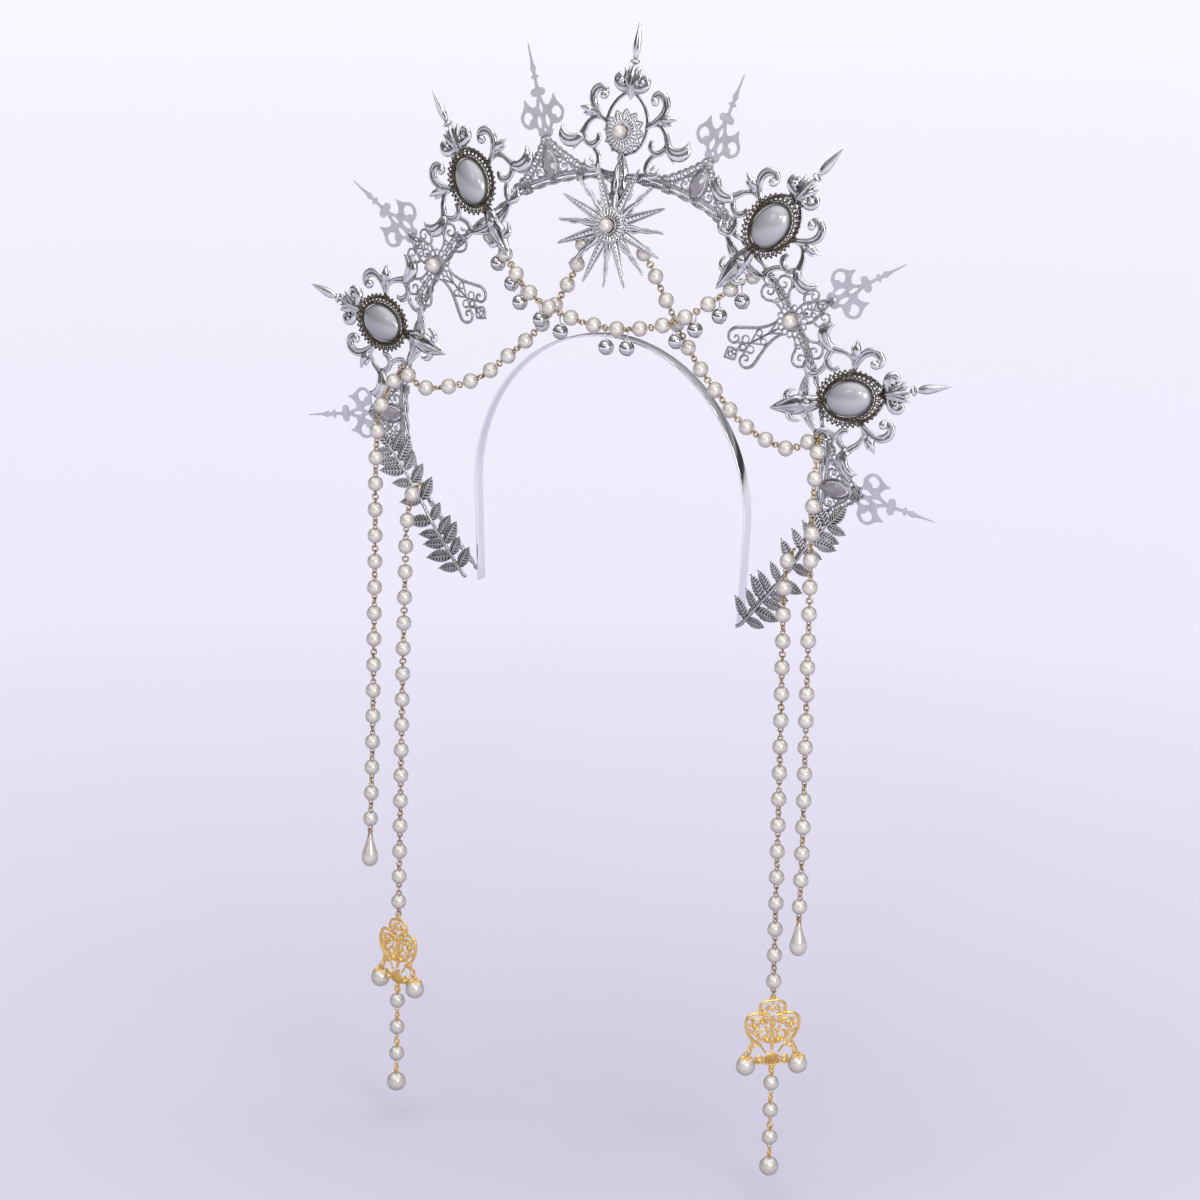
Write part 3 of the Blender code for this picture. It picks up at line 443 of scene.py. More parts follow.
def pearlFinish(name, body, rim, warm, rough, sheen):
    values = {"Metallic": sheen, "Coat Weight": 1.0, "Coat Roughness": 0.1, "IOR": 1.6}
    tree, shader = newFinish(name, values)
    gloss = addGrain(tree, shader, 700.0, rough, rough + 0.1, 0.04)
    skin = blendColours(tree, gloss, warm, body)
    # painted shade: the skin colour darkens to the rim colour towards the pearl's outline
    feed(tree, shader["Base Color"], blendColours(tree, addFacing(tree, 0.55), skin, rim))


def stoneFinish(name, body, rim, rough):
    tree, shader = newFinish(name, {"Coat Weight": 1.0, "Coat Roughness": 0.03})
    addGrain(tree, shader, 900.0, rough, rough + 0.08, 0)
    # painted light at the outline: the body colour turns to the rim colour where the stone turns from view,
    # a lighter sheen on greyStone and painted shade on crystal
    feed(tree, shader["Base Color"], blendColours(tree, addFacing(tree, 0.5), body, rim))


for metalName, metalLook in metalLooks.items():
    metalFinish(metalName, *metalLook)
leafFinish()
# body, painted rim shade, warm tone, roughness, metallic
pearlFinish("ivoryPearl", (0.76, 0.735, 0.69), (0.24, 0.21, 0.17), (0.68, 0.62, 0.55), 0.18, 0.2)
pearlFinish("greyPearl", (0.47, 0.475, 0.51), (0.10, 0.10, 0.10), (0.41, 0.41, 0.43), 0.28, 0.25)
stoneFinish("greyStone", (0.22, 0.20, 0.22), (0.40, 0.38, 0.40), 0.08)
stoneFinish("crystal", (0.80, 0.82, 0.84), (0.30, 0.32, 0.34), 0.05)
print("finishes mixed")


# head band and ring

bandLook = {"rise": 83.5, "halfSpan": 79.7, "footHalfSpan": 77.0, "legBottom": 137.0, "width": 6.0,
            "thickness": 1.3, "corner": 0.35, "archSteps": 30}


def makeHeadBand():
    look = bandLook
    angles = [math.pi / 2 * step / look["archSteps"] for step in range(look["archSteps"] + 1)]
    arc = [(look["halfSpan"] * math.sin(angle), look["rise"] * (math.cos(angle) - 1)) for angle in angles]
    legs = [(look["halfSpan"] + (look["footHalfSpan"] - look["halfSpan"]) * share,
             -look["rise"] - (look["legBottom"] - look["rise"]) * share) for share in (0.25, 0.5, 0.75, 1.0)]
    half = arc + legs
    line = [(-x, z) for x, z in reversed(half[1:])] + half
    letGo()
    bpy.ops.mesh.primitive_plane_add(size=look["width"], location=(line[0][0], 0, line[0][1]))
    band = bpy.context.object
    # the plane closes up to one edge, which is then drawn along the arch
    bpy.ops.object.mode_set(mode="EDIT")
    bpy.ops.mesh.select_all(action="SELECT")
    bpy.ops.transform.resize(value=(0, 1, 1))
    bpy.ops.mesh.remove_doubles(threshold=0.001)
    bpy.ops.mesh.select_mode(type="EDGE")
    bpy.ops.mesh.select_all(action="SELECT")
    for before, after in zip(line, line[1:]):
        step = (after[0] - before[0], 0, after[1] - before[1])
        bpy.ops.mesh.extrude_region_move(TRANSFORM_OT_translate={"value": step})
    bpy.ops.mesh.select_all(action="SELECT")
    bpy.ops.mesh.normals_make_consistent(inside=False)
    bpy.ops.mesh.select_mode(type="VERT")
    bpy.ops.object.mode_set(mode="OBJECT")
    if band.data.polygons[len(band.data.polygons) // 2].normal.z < 0:
        bpy.ops.object.mode_set(mode="EDIT")
        bpy.ops.mesh.flip_normals()
        bpy.ops.object.mode_set(mode="OBJECT")
    hold([band])
    bpy.ops.object.transform_apply(location=True, rotation=True, scale=True)
    wall = band.modifiers.new("wall", "SOLIDIFY")
    wall.thickness = look["thickness"]
    wall.offset = 1
    soft = band.modifiers.new("soft", "BEVEL")
    soft.width = look["corner"]
    soft.segments = 3
    soft.limit_method = "ANGLE"
    bpy.ops.object.modifier_apply(modifier="wall")
    bpy.ops.object.modifier_apply(modifier="soft")
    bpy.ops.object.shade_smooth_by_angle(angle=math.radians(30))
    settle(band, "look_headband", "chrome")


ringLook = {"wire": 0.66, "apart": 0.68, "twinePitch": 17.0, "sweep": 103, "footAboveEnd": 5.0, "steps": 48,
            "wrapRadius": 1.55, "wrapWire": 0.38,
            "wraps": (0.32, 0.62, 1.4, 1.62, 2.42, 2.6, 3.4, 3.62, 4.42, 4.7)}


def acrossMiddle(half):
    # a line that starts at the crown's middle, with its mirror image before it
    return [Vector((-point.x, point.y, point.z)) for point in reversed(half[1:])] + half


def ringLine():
    # the ring's middle line, in millimetres along the scene's own axes
    look = ringLook
    height = bandLook["legBottom"] - look["footAboveEnd"]
    share = (height - bandLook["rise"]) / (bandLook["legBottom"] - bandLook["rise"])
    leg = bandLook["halfSpan"] + (bandLook["footHalfSpan"] - bandLook["halfSpan"]) * share
    foot = Vector((leg + bandLook["thickness"] + crown["gap"] + crown["ringWire"] * 1.1, 0, -height))
    angles = [math.radians(look["sweep"] * step / look["steps"]) for step in range(look["steps"] + 1)]
    arc = [haloPlane() @ (Vector((math.sin(angle), math.cos(angle), 0)) * crown["ringRadius"])
           for angle in angles]
    bend = arc[-1].lerp(foot, 0.45) + Vector((crown["ringRadius"] * 0.055, 0, 0))
    tail = bentLine([(*arc[-1], 1), (*bend, 1), (*foot, 1)], 8)
    return acrossMiddle(arc[:-1] + [Vector(point[:3]) for point in tail])


def makeRing():
    look = ringLook
    line = [Vector(point[:3]) for point in bentLine([(*point, 1) for point in ringLine()], 3)]
    centre = haloPlane() @ Vector((0, 0, 0))
    pair, run = ([], []), 0.0
    for index, point in enumerate(line):
        run += (point - line[max(index - 1, 0)]).length
        out = (point - centre).normalized()
        turn = math.tau * run / look["twinePitch"]
        lump = 1 + 0.16 * math.sin(run * 0.9) * math.sin(run * 0.37)
        for side, rows in zip((-1, 1), pair):
            shift = out * math.cos(turn) + Vector((0, math.sin(turn), 0))
            rows.append((*(point + shift * side * look["apart"]), look["wire"] * lump))
    parts = [wires(pair, 8, 1)]
    for steps in look["wraps"]:
        for side in (-1, 1):
            coil = []
            for turn in range(33):
                angle = math.tau * turn / 8
                along = steps + (turn / 33 - 0.5) * 0.11
                out = Vector((0, math.cos(angle), math.sin(angle))) * look["wrapRadius"]
                coil.append((*(onRing(side * along, 0) @ out), look["wrapWire"]))
            parts.append(wires([coil], 6, 1))
    settle(joined(parts), "look_halo_ring", "antiqueSilver")


makeHeadBand()
makeRing()
print("band and ring made")


# spires

spireLook = {
    # right half of the casting; its grooved lines are drawn as two wires side by side
    "grooved": [
        [(0, 37.5, 0, 1.0), (4.6, 34.6, 0, .95), (8.6, 30.4, 0, .9), (11.2, 25, 0, .9),
         (11.8, 19.5, 0, .9), (10.6, 13.5, 0, .85), (7, 8, 0, .8), (0, 4.8, 0, .8)],
        [(11.4, 20.4, 0, 1.1), (16, 23.4, 0, 1.4), (20.0, 27.4, .1, 1.75), (21.6, 31.6, .2, 1.95),
         (20.4, 35.6, .3, 2.05), (17.2, 37.4, .4, 1.9), (14.6, 36.2, .4, 1.6), (13.6, 34.0, .4, 1.1)],
        [(10.8, 19.6, 0, .95), (15, 22, 0, 1.05), (19.4, 21.8, 0, 1.1), (22.8, 18.6, 0, 1.3),
         (24.6, 14.6, .1, 1.6), (26, 11.8, .2, 1.8)],
        [(25, 12.6, .1, 1.5), (23, 9.8, .1, 1.45), (20, 8.2, .1, 1.5), (17.2, 8.9, .2, 1.6),
         (15.4, 11.2, .3, 1.4), (15.8, 14.4, .3, .9)],
        [(19.6, 8.2, 0, 1.15), (16.4, 5.6, 0, 1.2), (14.4, 2.4, 0, 1.25), (14, -1, .1, 1.25),
         (15.8, -3.2, .2, 1.1)],
        [(17.6, -2.2, 0, .8), (12, -3.4, .1, .85), (6, -4.4, .3, .95), (0, -4.8, .5, 1.0)],
    ],
    "leaves": [
        [(19.4, 24.4, .2, 1.0), (22.2, 25.2, .5, 2.0), (25, 25.7, .4, 1.7), (28.8, 26.2, 0, .2)],
        [(20.6, 23.2, 0, .8), (23.6, 23.0, .2, 1.2), (26.6, 23.4, 0, .2)],
        [(25.0, 12.0, .3, 1.8), (28.4, 8.9, .4, 2.6), (32.8, 8.1, .4, 2.8), (36.8, 10.1, .3, 2.1),
         (38.8, 13.2, .1, .4)],
        [(26.4, 12.2, .8, 1.3), (29.8, 10.6, 1.3, 1.7), (33.6, 10.8, 1.3, 1.8), (36.8, 13.2, .9, 1.5),
         (37.6, 16.6, .3, .35)],
        [(25.2, 11.6, .2, 1.3), (27.2, 8.8, .4, 1.8), (28.6, 6.4, .2, 1.1), (29.8, 3.8, 0, .2)],
        [(15.2, -2.6, .2, 1.2), (18, -3.6, .3, 1.8), (20.8, -2.2, .3, 1.4), (22.0, 1.0, .2, .35)],
        [(16.6, -.6, .2, .7), (18.6, .8, .3, .9), (18.8, 2.8, .1, .3)],
        [(15.6, -3.6, 0, .7), (10, -5.5, .1, .8), (5, -6.7, .3, .9), (0, -7, .6, 1.0)],
        [(13, -4.8, 0, .6), (9, -7.3, .1, .75), (5, -9, .2, .8), (2, -10.6, .4, .8)],
        [(1.2, -14.8, .2, 1.5), (3.8, -16.2, .3, 1.8), (6.2, -15.4, .3, 1.6), (7.7, -12.6, .2, 1.0),
         (7.6, -9.8, .1, .25)],
        [(2, 38.8, 0, 2.1), (5.4, 38.6, 0, 2.5), (8.2, 40.2, .1, 2.3), (8.9, 43, .2, 1.7),
         (7.2, 44.8, .3, 1.3), (5.8, 43.4, .5, .9)],
        [(4.8, 41.0, 0, 2.2), (6.8, 41.4, .1, 2.7), (7.8, 42.0, .1, 1.8)],
        [(1, 40, 0, 2.6), (3.2, 44.6, .2, 2.0), (5.2, 49, .1, .3)],
        [(.6, 42, .6, 1.8), (1.8, 46, .6, 1.1), (2.8, 49.8, .2, .25)],
        [(13.2, 35.0, .5, 1.4), (15.0, 33.4, .6, 2.4), (16.9, 33.2, .5, 1.5)],
    ],
    "body": [
        [(0, -26, 0, .3), (0, -22.6, 0, 2.0), (0, -19.2, 0, 3.3), (0, -15.6, 0, 4.2), (0, -11.6, 0, 5.1),
         (0, -8.2, 0, 4.6), (0, -4.6, 0, 4.5), (0, -1.2, 0, 3.7), (0, 2.2, 0, 2.3), (0, 5, 0, 1.2)],
        [(0, -8.4, 1.0, .5), (0, -5.8, 1.5, 2.3), (0, -3.2, 1.1, .5)],
        [(0, 32.6, 0, .3), (0, 35.8, 0, 2.4), (0, 39.4, 0, 4.0), (0, 43, 0, 4.2), (0, 46, 0, 3.0),
         (0, 49.6, 0, 1.2)],
    ],
    "ridges": [
        [(0, -25.4, .4, .3), (0, -19, 1.4, .5), (0, -13, 2.0, .6), (0, -9, 1.8, .4)],
        [(1.3, -21.6, .8, .3), (2.8, -16.4, 1.2, .45), (3.6, -11.8, 1.3, .5), (2.6, -7.6, 1.4, .4),
         (2.8, -3.4, 1.3, .4), (1.4, 1.2, 1.0, .4)],
        [(0, 34, .4, .3), (0, 39.4, 1.7, .5), (0, 45, 1.6, .5), (0, 49.6, .8, .4)],
        [(0, -2.6, 1.5, .4), (0, 2.6, 1.0, .4)],
    ],
    "neck": [(0, 48.6, 0, 1.2), (0, 50.2, 0, .85), (0, 50.9, 0, 1.3), (0, 51.3, 0, 2.3), (0, 51.9, 0, 2.6),
             (0, 52.5, 0, 2.2), (0, 53.0, 0, 1.1), (0, 53.7, 0, .9), (0, 54.2, 0, 1.5), (0, 54.6, 0, 1.2)],
    "blade": [(0, 54.2, 0, 1.0), (0, 56.2, 0, 1.9), (0, 59.2, 0, 2.35), (0, 64.6, 0, 1.7),
              (0, 71.8, 0, .2)],
    "voxel": 0.33, "keep": 0.42,
}


def sideBySide(rows, apart=0.52, thinner=0.62):
    # two wires along one line, with a groove between them
    rows = [Vector(row) for row in rows]
    pair = []
    for side in (-1, 1):
        line = []
        for index, row in enumerate(rows):
            ahead = rows[min(index + 1, len(rows) - 1)] - rows[max(index - 1, 0)]
            across = Vector((-ahead.y, ahead.x)).normalized()
            shift = side * apart * row[3]
            line.append((row[0] + across.x * shift, row[1] + across.y * shift, row[2], row[3] * thinner))
        pair.append(line)
    return pair


def makeSpires():
    look = spireLook
    grooved = [line for rows in look["grooved"] for line in sideBySide(rows)]
    parts = [wires(bothSides(grooved), 8, 4, flat=0.85),
             wires(bothSides(look["leaves"]), 8, 4, flat=0.7),
             wires(look["body"], 12, 4, flat=0.42),
             wires(bothSides(look["ridges"]), 6, 3)]
    casting = castTogether(joined(parts), look["voxel"], look["keep"])
    neck = wires([look["neck"]], 14, 2, flat=0.8)
    blade = wires([look["blade"]], 8, 3, flat=0.55)
    ridge = wires([[(x, y, z + r * 0.5, 0.1 + r * 0.14) for x, y, z, r in look["blade"]]], 6, 3)
    casting = joined([casting, neck, blade, ridge])
    spots = []
    for index, name in enumerate(("left_low", "left", "centre", "right", "right_low"), -2):
        lift = 0 if index else crown["centreLift"]
        spots.append((name, onRing(index * 2, crown["spireDish"], lift, crown["spireMiddle"])))
    twins(casting, spots, "brightSilver", "spire_")


makeSpires()
print("spires cast")


# oval settings

settingLook = {
    "halfWidth": 9.0, "halfLength": 12.5, "rise": 5.8, "height": 18.0, "loops": 34, "ropeBeads": 62,
    "rims": ((0.65, 1.3, .62), (1.75, .7, .34), (3.3, .5, .26)),    # out from the stone, height, radius
    "loopMiddle": 3.1, "loopReach": 1.75, "loopHalfWidth": 0.95,
}


def ovalSpot(offset, share):
    # a point beside the oval stone and the direction away from it
    wide, tall = settingLook["halfWidth"], settingLook["halfLength"]
    across, along = math.cos(math.tau * share), math.sin(math.tau * share)
    out = Vector((across / wide, along / tall, 0)).normalized()
    return Vector((wide * across, tall * along, 0)) + out * offset, out


def evenShares(count):
    # shares of the turn that lie evenly along the oval
    fine = [ovalSpot(2.5, step / 720)[0] for step in range(721)]
    total = [0.0]
    for start, end in zip(fine, fine[1:]):
        total.append(total[-1] + (end - start).length)
    shares = []
    for index in range(count):
        target = total[-1] * index / count
        near = min(range(721), key=lambda step: abs(total[step] - target))
        shares.append(near / 720)
    return shares


def makeSettings():
    look = settingLook
    shares = evenShares(48)
    rims = [[(*ovalSpot(offset, share)[0][:2], height, radius) for share in shares]
            for offset, height, radius in look["rims"]]
    rope = [(*ovalSpot(0.65, share)[0][:2], 1.85, .44) for share in evenShares(look["ropeBeads"])]
    parts = [wires(rims, 8, 1, closed=True), balls(rope, 1)]
    loops, tips = [], []
    for share in evenShares(look["loops"]):
        spot, out = ovalSpot(look["loopMiddle"], share)
        side = Vector((-out.y, out.x, 0))
        loop = []
        for turn in range(8):
            angle = math.tau * turn / 8
            point = (spot + out * math.cos(angle) * look["loopReach"]
                     + side * math.sin(angle) * look["loopHalfWidth"])
            loop.append((point.x, point.y, 0.7 + 0.25 * math.cos(angle / 2), 0.36))
        loops.append(loop)
        tips.append((*(spot + out * 1.9)[:2], 0.6, 0.62))
        tips.append((*(spot + side * 1.25 + out * 0.95)[:2], 0.5, 0.42))
    bezel = joined(parts + [wires(loops, 6, 1, closed=True), balls(tips, 2)])
    places = [(name, onRing(steps, crown["spireDish"], look["height"], crown["secondLayer"]))
              for steps, name in ((-4, "left_low"), (-2, "left"), (2, "right"), (4, "right_low"))]
    twins(bezel, places, "darkBronze", "bezel_")
    stone = globe(56, 32)
    cutLevel(0, use_fill=True, clear_inner=True)
    stone.data.transform(Matrix.Diagonal((look["halfWidth"], look["halfLength"], look["rise"], 1)))
    stone.data.shade_smooth()
    paint(stone, "greyPearl")
    stone.data.materials.append(bpy.data.materials["darkBronze"])
    for face in stone.data.polygons:
        face.material_index = 1 if face.normal.z < -0.9 else 0
    twins(stone, places, "greyPearl", "cabochon_")


makeSettings()
print("oval settings made")


# flowers and star

flowerLook = {"loops": 24, "loopMiddle": 7.2, "petalMiddle": 6.5, "beads": 22, "cup": 3.9, "pearl": 3.8,
              "height": 16.5}
burstLook = {"points": 12, "radius": 11.6, "valley": 8.4, "stem": 15.0}
starLook = {"rays": 16, "radius": 32.5, "hub": 9.2, "height": -24.0, "stones": 9}


def makeFlowerRing():
    look = flowerLook
    loop = ((0, -2.1, .34), (.75, -.7, .36), (.85, .9, .4), (0, 2.1, .42), (-.85, .9, .4), (-.75, -.7, .36))
    loop = [(x, look["loopMiddle"] + y, 0.6, r) for x, y, r in loop]
    petal = ((-1.9, .25), (-1.3, .6), (0, .78), (1.3, .66), (1.9, .3))
    petal = [(0, look["petalMiddle"] + y, 1.0, r) for y, r in petal]
    loops = [turnRows(loop, turn) for turn in spokes(look["loops"])]
    petals = [turnRows(petal, turn) for turn in spokes(look["loops"])]
    beads = [turnRows([(0, look["cup"] + .3, 1.45, .5)], turn)[0] for turn in spokes(look["beads"])]
    back = disc(32, look["cup"] - .7, 1.45, 0.88)
    return joined([wires(loops, 6, 2, closed=True), wires(petals, 8, 2), balls(beads, 2),
                   hoops([(0, 0, .6, look["loopMiddle"]), (0, 0, .6, look["cup"])], .5, 40, 8), back])


def makePearl(radius):
    # a pearl cut flat where it is glued on
    low = radius * 0.6
    pearl = globe(32, 20, radius)
    cutLevel(-low, use_fill=True, clear_inner=True)
    pearl.data.transform(Matrix.Translation((0, 0, low)))
    pearl.data.shade_smooth()
    return pearl


def makeBurst():
    # pointed lace behind the flower, with the lacy stem under it
    look = burstLook
    point = ((-2.4, look["valley"]), (-1.3, 10), (0, look["radius"]), (1.3, 10), (2.4, look["valley"]))
    lines, beads = [], []
    for turn in spokes(look["points"]):
        for rows in (point, ((0, 6), (0, 8.2), (0, 10))):
            lines.append(turnRows([(x, y, 0.4, .42) for x, y in rows], turn))
        beads += turnRows([(0, look["radius"] - .2, 0.4, .6)], turn)
    for side in (-1, 1):
        lines.append([(side * 1.8, -9.4, .4, .45), (side * 1.2, -11.4, .4, .4), (side * 1.8, -13.2, .4, .4),
                      (side * .9, -look["stem"], .4, .45)])
        lines.append([(-side * 1.6, -9.6, .4, .35), (side * 1.4, -12.2, .4, .35), (-side, -14.6, .4, .35)])
    beads += [(0, -10.6, .5, .7), (0, -13, .5, .6), (0, -look["stem"] + .4, .5, .7)]
    rings = [(0, 0, .4, 8.0), (0, 0, .4, 6.4)]
    return joined([wires(lines, 6, 2), hoops(rings, .4, 36, 6), balls(beads, 2)])


def straightRay():
    # two rails and the ridge between them
    rays = [((side * 2.3, 7.4, .5, .5), (side * 1.9, 14, .6, .48), (side * 1.3, 22, .6, .42),
             (side * .55, 30, .5, .36), (0, starLook["radius"] - .2, .4, .34)) for side in (-1, 1)]
    return rays + [((0, 8, .3, 1.7), (0, 16, .3, 1.3), (0, 24, .3, .8), (0, 31, .3, .3))]


def wavyRay():
    # two thin wires that sway round one another over a low ridge
    rays = []
    for side in (-1, 1):
        rows = []
        for step in range(15):
            share = step / 14
            sway = side * (1.5 - 1.1 * share) * math.cos(share * 9.4 + 0.5) + 0.5 * math.sin(share * 6)
            rows.append((sway, 7.4 + (starLook["radius"] - 9.4) * share,
                         .5 + .35 * side * math.sin(share * 9.4), .78 - .4 * share))
        rays.append(rows)
    return rays + [((.2, 8, .3, 1.8), (-.4, 14, .3, 1.4), (.5, 20, .3, 1.0), (0, 26, .3, .6),
                    (.1, 31, .3, .3))]


def makeStar():
    look = starLook
    shares = [stone / (look["stones"] - 1) for stone in range(look["stones"])]
    lines, stones = [], []
    for ray, turn in enumerate(spokes(look["rays"], -1)):
        lines += [turnRows(rows, turn) for rows in (straightRay() if ray % 2 else wavyRay())]
        if ray % 2:
            stones += turnRows([(0, 10 + 17.5 * share, 1.0, 1.0 - 0.5 * share) for share in shares], turn)
    hub = disc(48, look["hub"], 1.0, 0.5)
    star = joined([wires(lines, 6, 2, flat=0.75), hub, hoops([(0, 0, .9, 9.3)], .4, 48, 6)])
    paint(star, "brightSilver")
    gems = balls(stones, 1, 0.8)
    gems.data.shade_flat()
    paint(gems, "crystal")
    return joined([star, gems])


def starSpot():
    return onRing(0, crown["spireDish"], starLook["height"], crown["secondLayer"] + 1.1)


def makeFlowersAndStar():
    height = crown["centreLift"] + flowerLook["height"]
    flowerBack = onRing(0, crown["spireDish"], height, crown["secondLayer"])
    flowerPlace = flowerBack @ Matrix.Translation((0, 0, 1.1))
    starFlower = starSpot() @ Matrix.Translation((0, 0, 1.5))
    twins(makeFlowerRing(), [("flower_top", flowerPlace), ("star_flower", starFlower)], "flowerSilver", "")
    lift = Matrix.Translation((0, 0, 1.8))
    twins(makePearl(flowerLook["pearl"]), [("flower_top_pearl", flowerPlace @ lift),
                                           ("star_flower_pearl", starFlower @ lift)], "ivoryPearl", "")
    settle(makeBurst(), "look_flower_back", "laceSilver", flowerBack)
    settle(makeStar(), "look_star", "brightSilver", starSpot())


makeFlowersAndStar()
print("flowers and star made")


# lace triangles

laceLook = {
    "edge": [(25.4, 1.4), (21.0, 3.5), (17.2, 5.6), (14.0, 8.6), (11.2, 11.4), (8.6, 14.0), (5.8, 16.8),
             (3.4, 20.0), (0, 23.6)],
    "inner": [(22.0, 2.0, 0, .4), (15.6, 4.0, 0, .45), (10.8, 7.2, 0, .45), (7.6, 11.0, 0, .45),
              (4.4, 15.2, 0, .45), (0, 18.6, 0, .45)],
    "rings": [(22.6, 1.9, 0, 1.0), (18.7, 3.4, 0, 1.2), (15.3, 5.6, 0, 1.35), (12.4, 8.5, 0, 1.35),
              (9.6, 11.3, 0, 1.35), (6.9, 14.0, 0, 1.3), (4.2, 17.0, 0, 1.3), (1.6, 20.0, 0, 1.2)],
    "scrolls": [
        [(4.2, 4.6, 0, .5), (6.6, 3.8, 0, .5), (9.2, 4.8, 0, .5), (9.0, 7.2, 0, .45), (7.0, 7.6, 0, .4),
         (6.8, 6.0, 0, .4)],
        [(10.4, 3.2, 0, .45), (13.0, 3.4, 0, .5), (13.6, 5.4, 0, .45), (11.8, 6.0, 0, .4),
         (11.4, 4.8, 0, .35)],
        [(3.6, 9.4, 0, .45), (6.2, 9.0, 0, .45), (7.2, 10.6, 0, .4), (5.4, 11.6, 0, .4),
         (4.0, 13.4, 0, .4)],
        [(14.6, 2.6, 0, .5), (17.4, 1.8, 0, .6), (20.6, 1.4, 0, .5), (24.0, .2, 0, .4)],
        [(15.4, 3.4, 0, .4), (18.0, 2.4, 0, .45), (21.0, 2.0, 0, .35)],
        [(1.2, 16.8, 0, .4), (2.4, 18.6, 0, .4), (1.0, 20.4, 0, .4), (0, 22.4, 0, .5)],
    ],
    "stoneHeight": 9.2, "stoneHalfLength": 6.75, "stoneHalfWidth": 3.4, "heavier": 1.3,
    "beads": ((5.4, 5.6), (8, 6.2), (5.2, 12.4), (12.4, 4.6), (16.6, 2.4), (2.2, 18.4)),
}


def pointedOval(grow, count):
    look = laceLook
    rows = []
    for step in range(count):
        angle = math.tau * step / count
        across = (look["stoneHalfWidth"] + grow) * math.sin(angle) * abs(math.sin(angle)) ** 0.4
        rows.append((across, look["stoneHeight"] + (look["stoneHalfLength"] + grow * 1.4) * math.cos(angle)))
    return rows


def makeLace():
    look = laceLook
    seat = crown["ringRadius"]
    arcs = []
    for offset, reach in ((2.3, 25.4), (3.5, 21.0)):
        arcs.append([(x, math.sqrt((seat + offset) ** 2 - x * x) - seat, 0, .5)
                     for x in [reach * step / 8 for step in range(-8, 9)]])
    scallops = []
    for start, end in zip(look["edge"], look["edge"][1:]):
        start, end = Vector(start), Vector(end)
        across = Vector((end - start).yx)
        bulge = (start + end) / 2 + Vector((across.x, -across.y)) * 0.22
        scallops.append([(*start, 0, .55), (*bulge, 0, .55), (*end, 0, .55)])
    rim = [(x, y, .7, .5) for x, y in pointedOval(0.7, 28)]
    outerRim = [(x, y, .3, .42) for x, y in pointedOval(1.5, 28)]
    beads = [(x, y, 1.25, .3) for x, y in pointedOval(0.7, 34)]
    beads += mirrored([(x, y, .2, .5) for x, y in look["beads"]])
    tip = [[(0, 22.4, 0, .5), (0, 23.6, 0, .9), (0, 24.1, 0, .2)]]
    inside = heavier([look["inner"]] + look["scrolls"], look["heavier"])
    lace = joined([wires(arcs, 6, 1), wires(bothSides(scallops), 6, 3), wires(bothSides(inside), 6, 3),
                   wires([rim, outerRim], 6, 1, closed=True), wires(tip, 6, 1),
                   hoops(mirrored(look["rings"]), .5, 12, 6),
                   balls(mirrored([(x, y, 0, .72) for x, y in look["edge"]]), 2, 0.8), balls(beads, 1)])
    lace.data.transform(Matrix.Diagonal((1, 1, 0.9, 1)))
    spots = [(name, onRing(steps, crown["flatDish"]))
             for steps, name in ((-5, "left_low"), (-1, "left"), (1, "right"), (5, "right_low"))]
    twins(lace, spots, "laceSilver", "lace_")


makeLace()
for stoneName in ("stone_left", "stone_right", "stone_left_low", "stone_right_low"):
    paint(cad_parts[stoneName], "greyStone")
print("lace made")


# clock hands

handLook = {
    "outline": [(0, 1.4), (1.2, 0), (3.0, .1), (4.3, 1.8), (4.1, 4.0), (5.2, 5.5), (7.0, 5.6), (9.2, 5.5),
                (11.6, 7.2), (13.1, 10.0), (12.8, 13.0), (11.0, 15.4), (9.7, 17.6), (8.9, 20.6),
                (7.6, 18.4), (5.8, 16.4), (3.8, 15.6), (2.3, 17.0), (1.5, 19.4), (1.2, 21.0),
                (2.8, 21.0), (4.0, 21.8), (4.3, 23.2), (3.5, 24.6), (2.0, 25.0), (1.0, 25.4), (.75, 28),
                (.8, 29.6), (2.4, 30.7), (.85, 31.8), (.9, 33), (1.6, 35), (.8, 37.4), (.5, 41), (.2, 47)],
    "ringHole": [(8.8, 7.6), (11.0, 8.9), (11.6, 11.2), (10.4, 13.6), (8.4, 14.2), (6.4, 13.0),
                 (5.8, 10.8), (7.2, 10.2), (8.2, 9.0)],
    "drop": [(2.5, 4.6), (3.8, 6.8), (3.6, 9.2), (2.3, 11.4), (1.2, 9.0), (1.3, 6.6)],
    "slit": [(0, 11.8), (.95, 14.2), (.9, 15.8), (0, 18.4), (-.9, 15.8), (-.95, 14.2)],
    "footHole": [(0, 2.6), (.9, 3.6), (0, 4.8), (-.9, 3.6)],
    "halfThickness": 0.35, "laceTip": 24.0, "crossTip": 24.5,
    "seats": ((1, "_top", 1.0, 0), (3, "", 3.0, 2), (5, "_low", 7.0, 4)),    # steps, name, overlap, turn
}


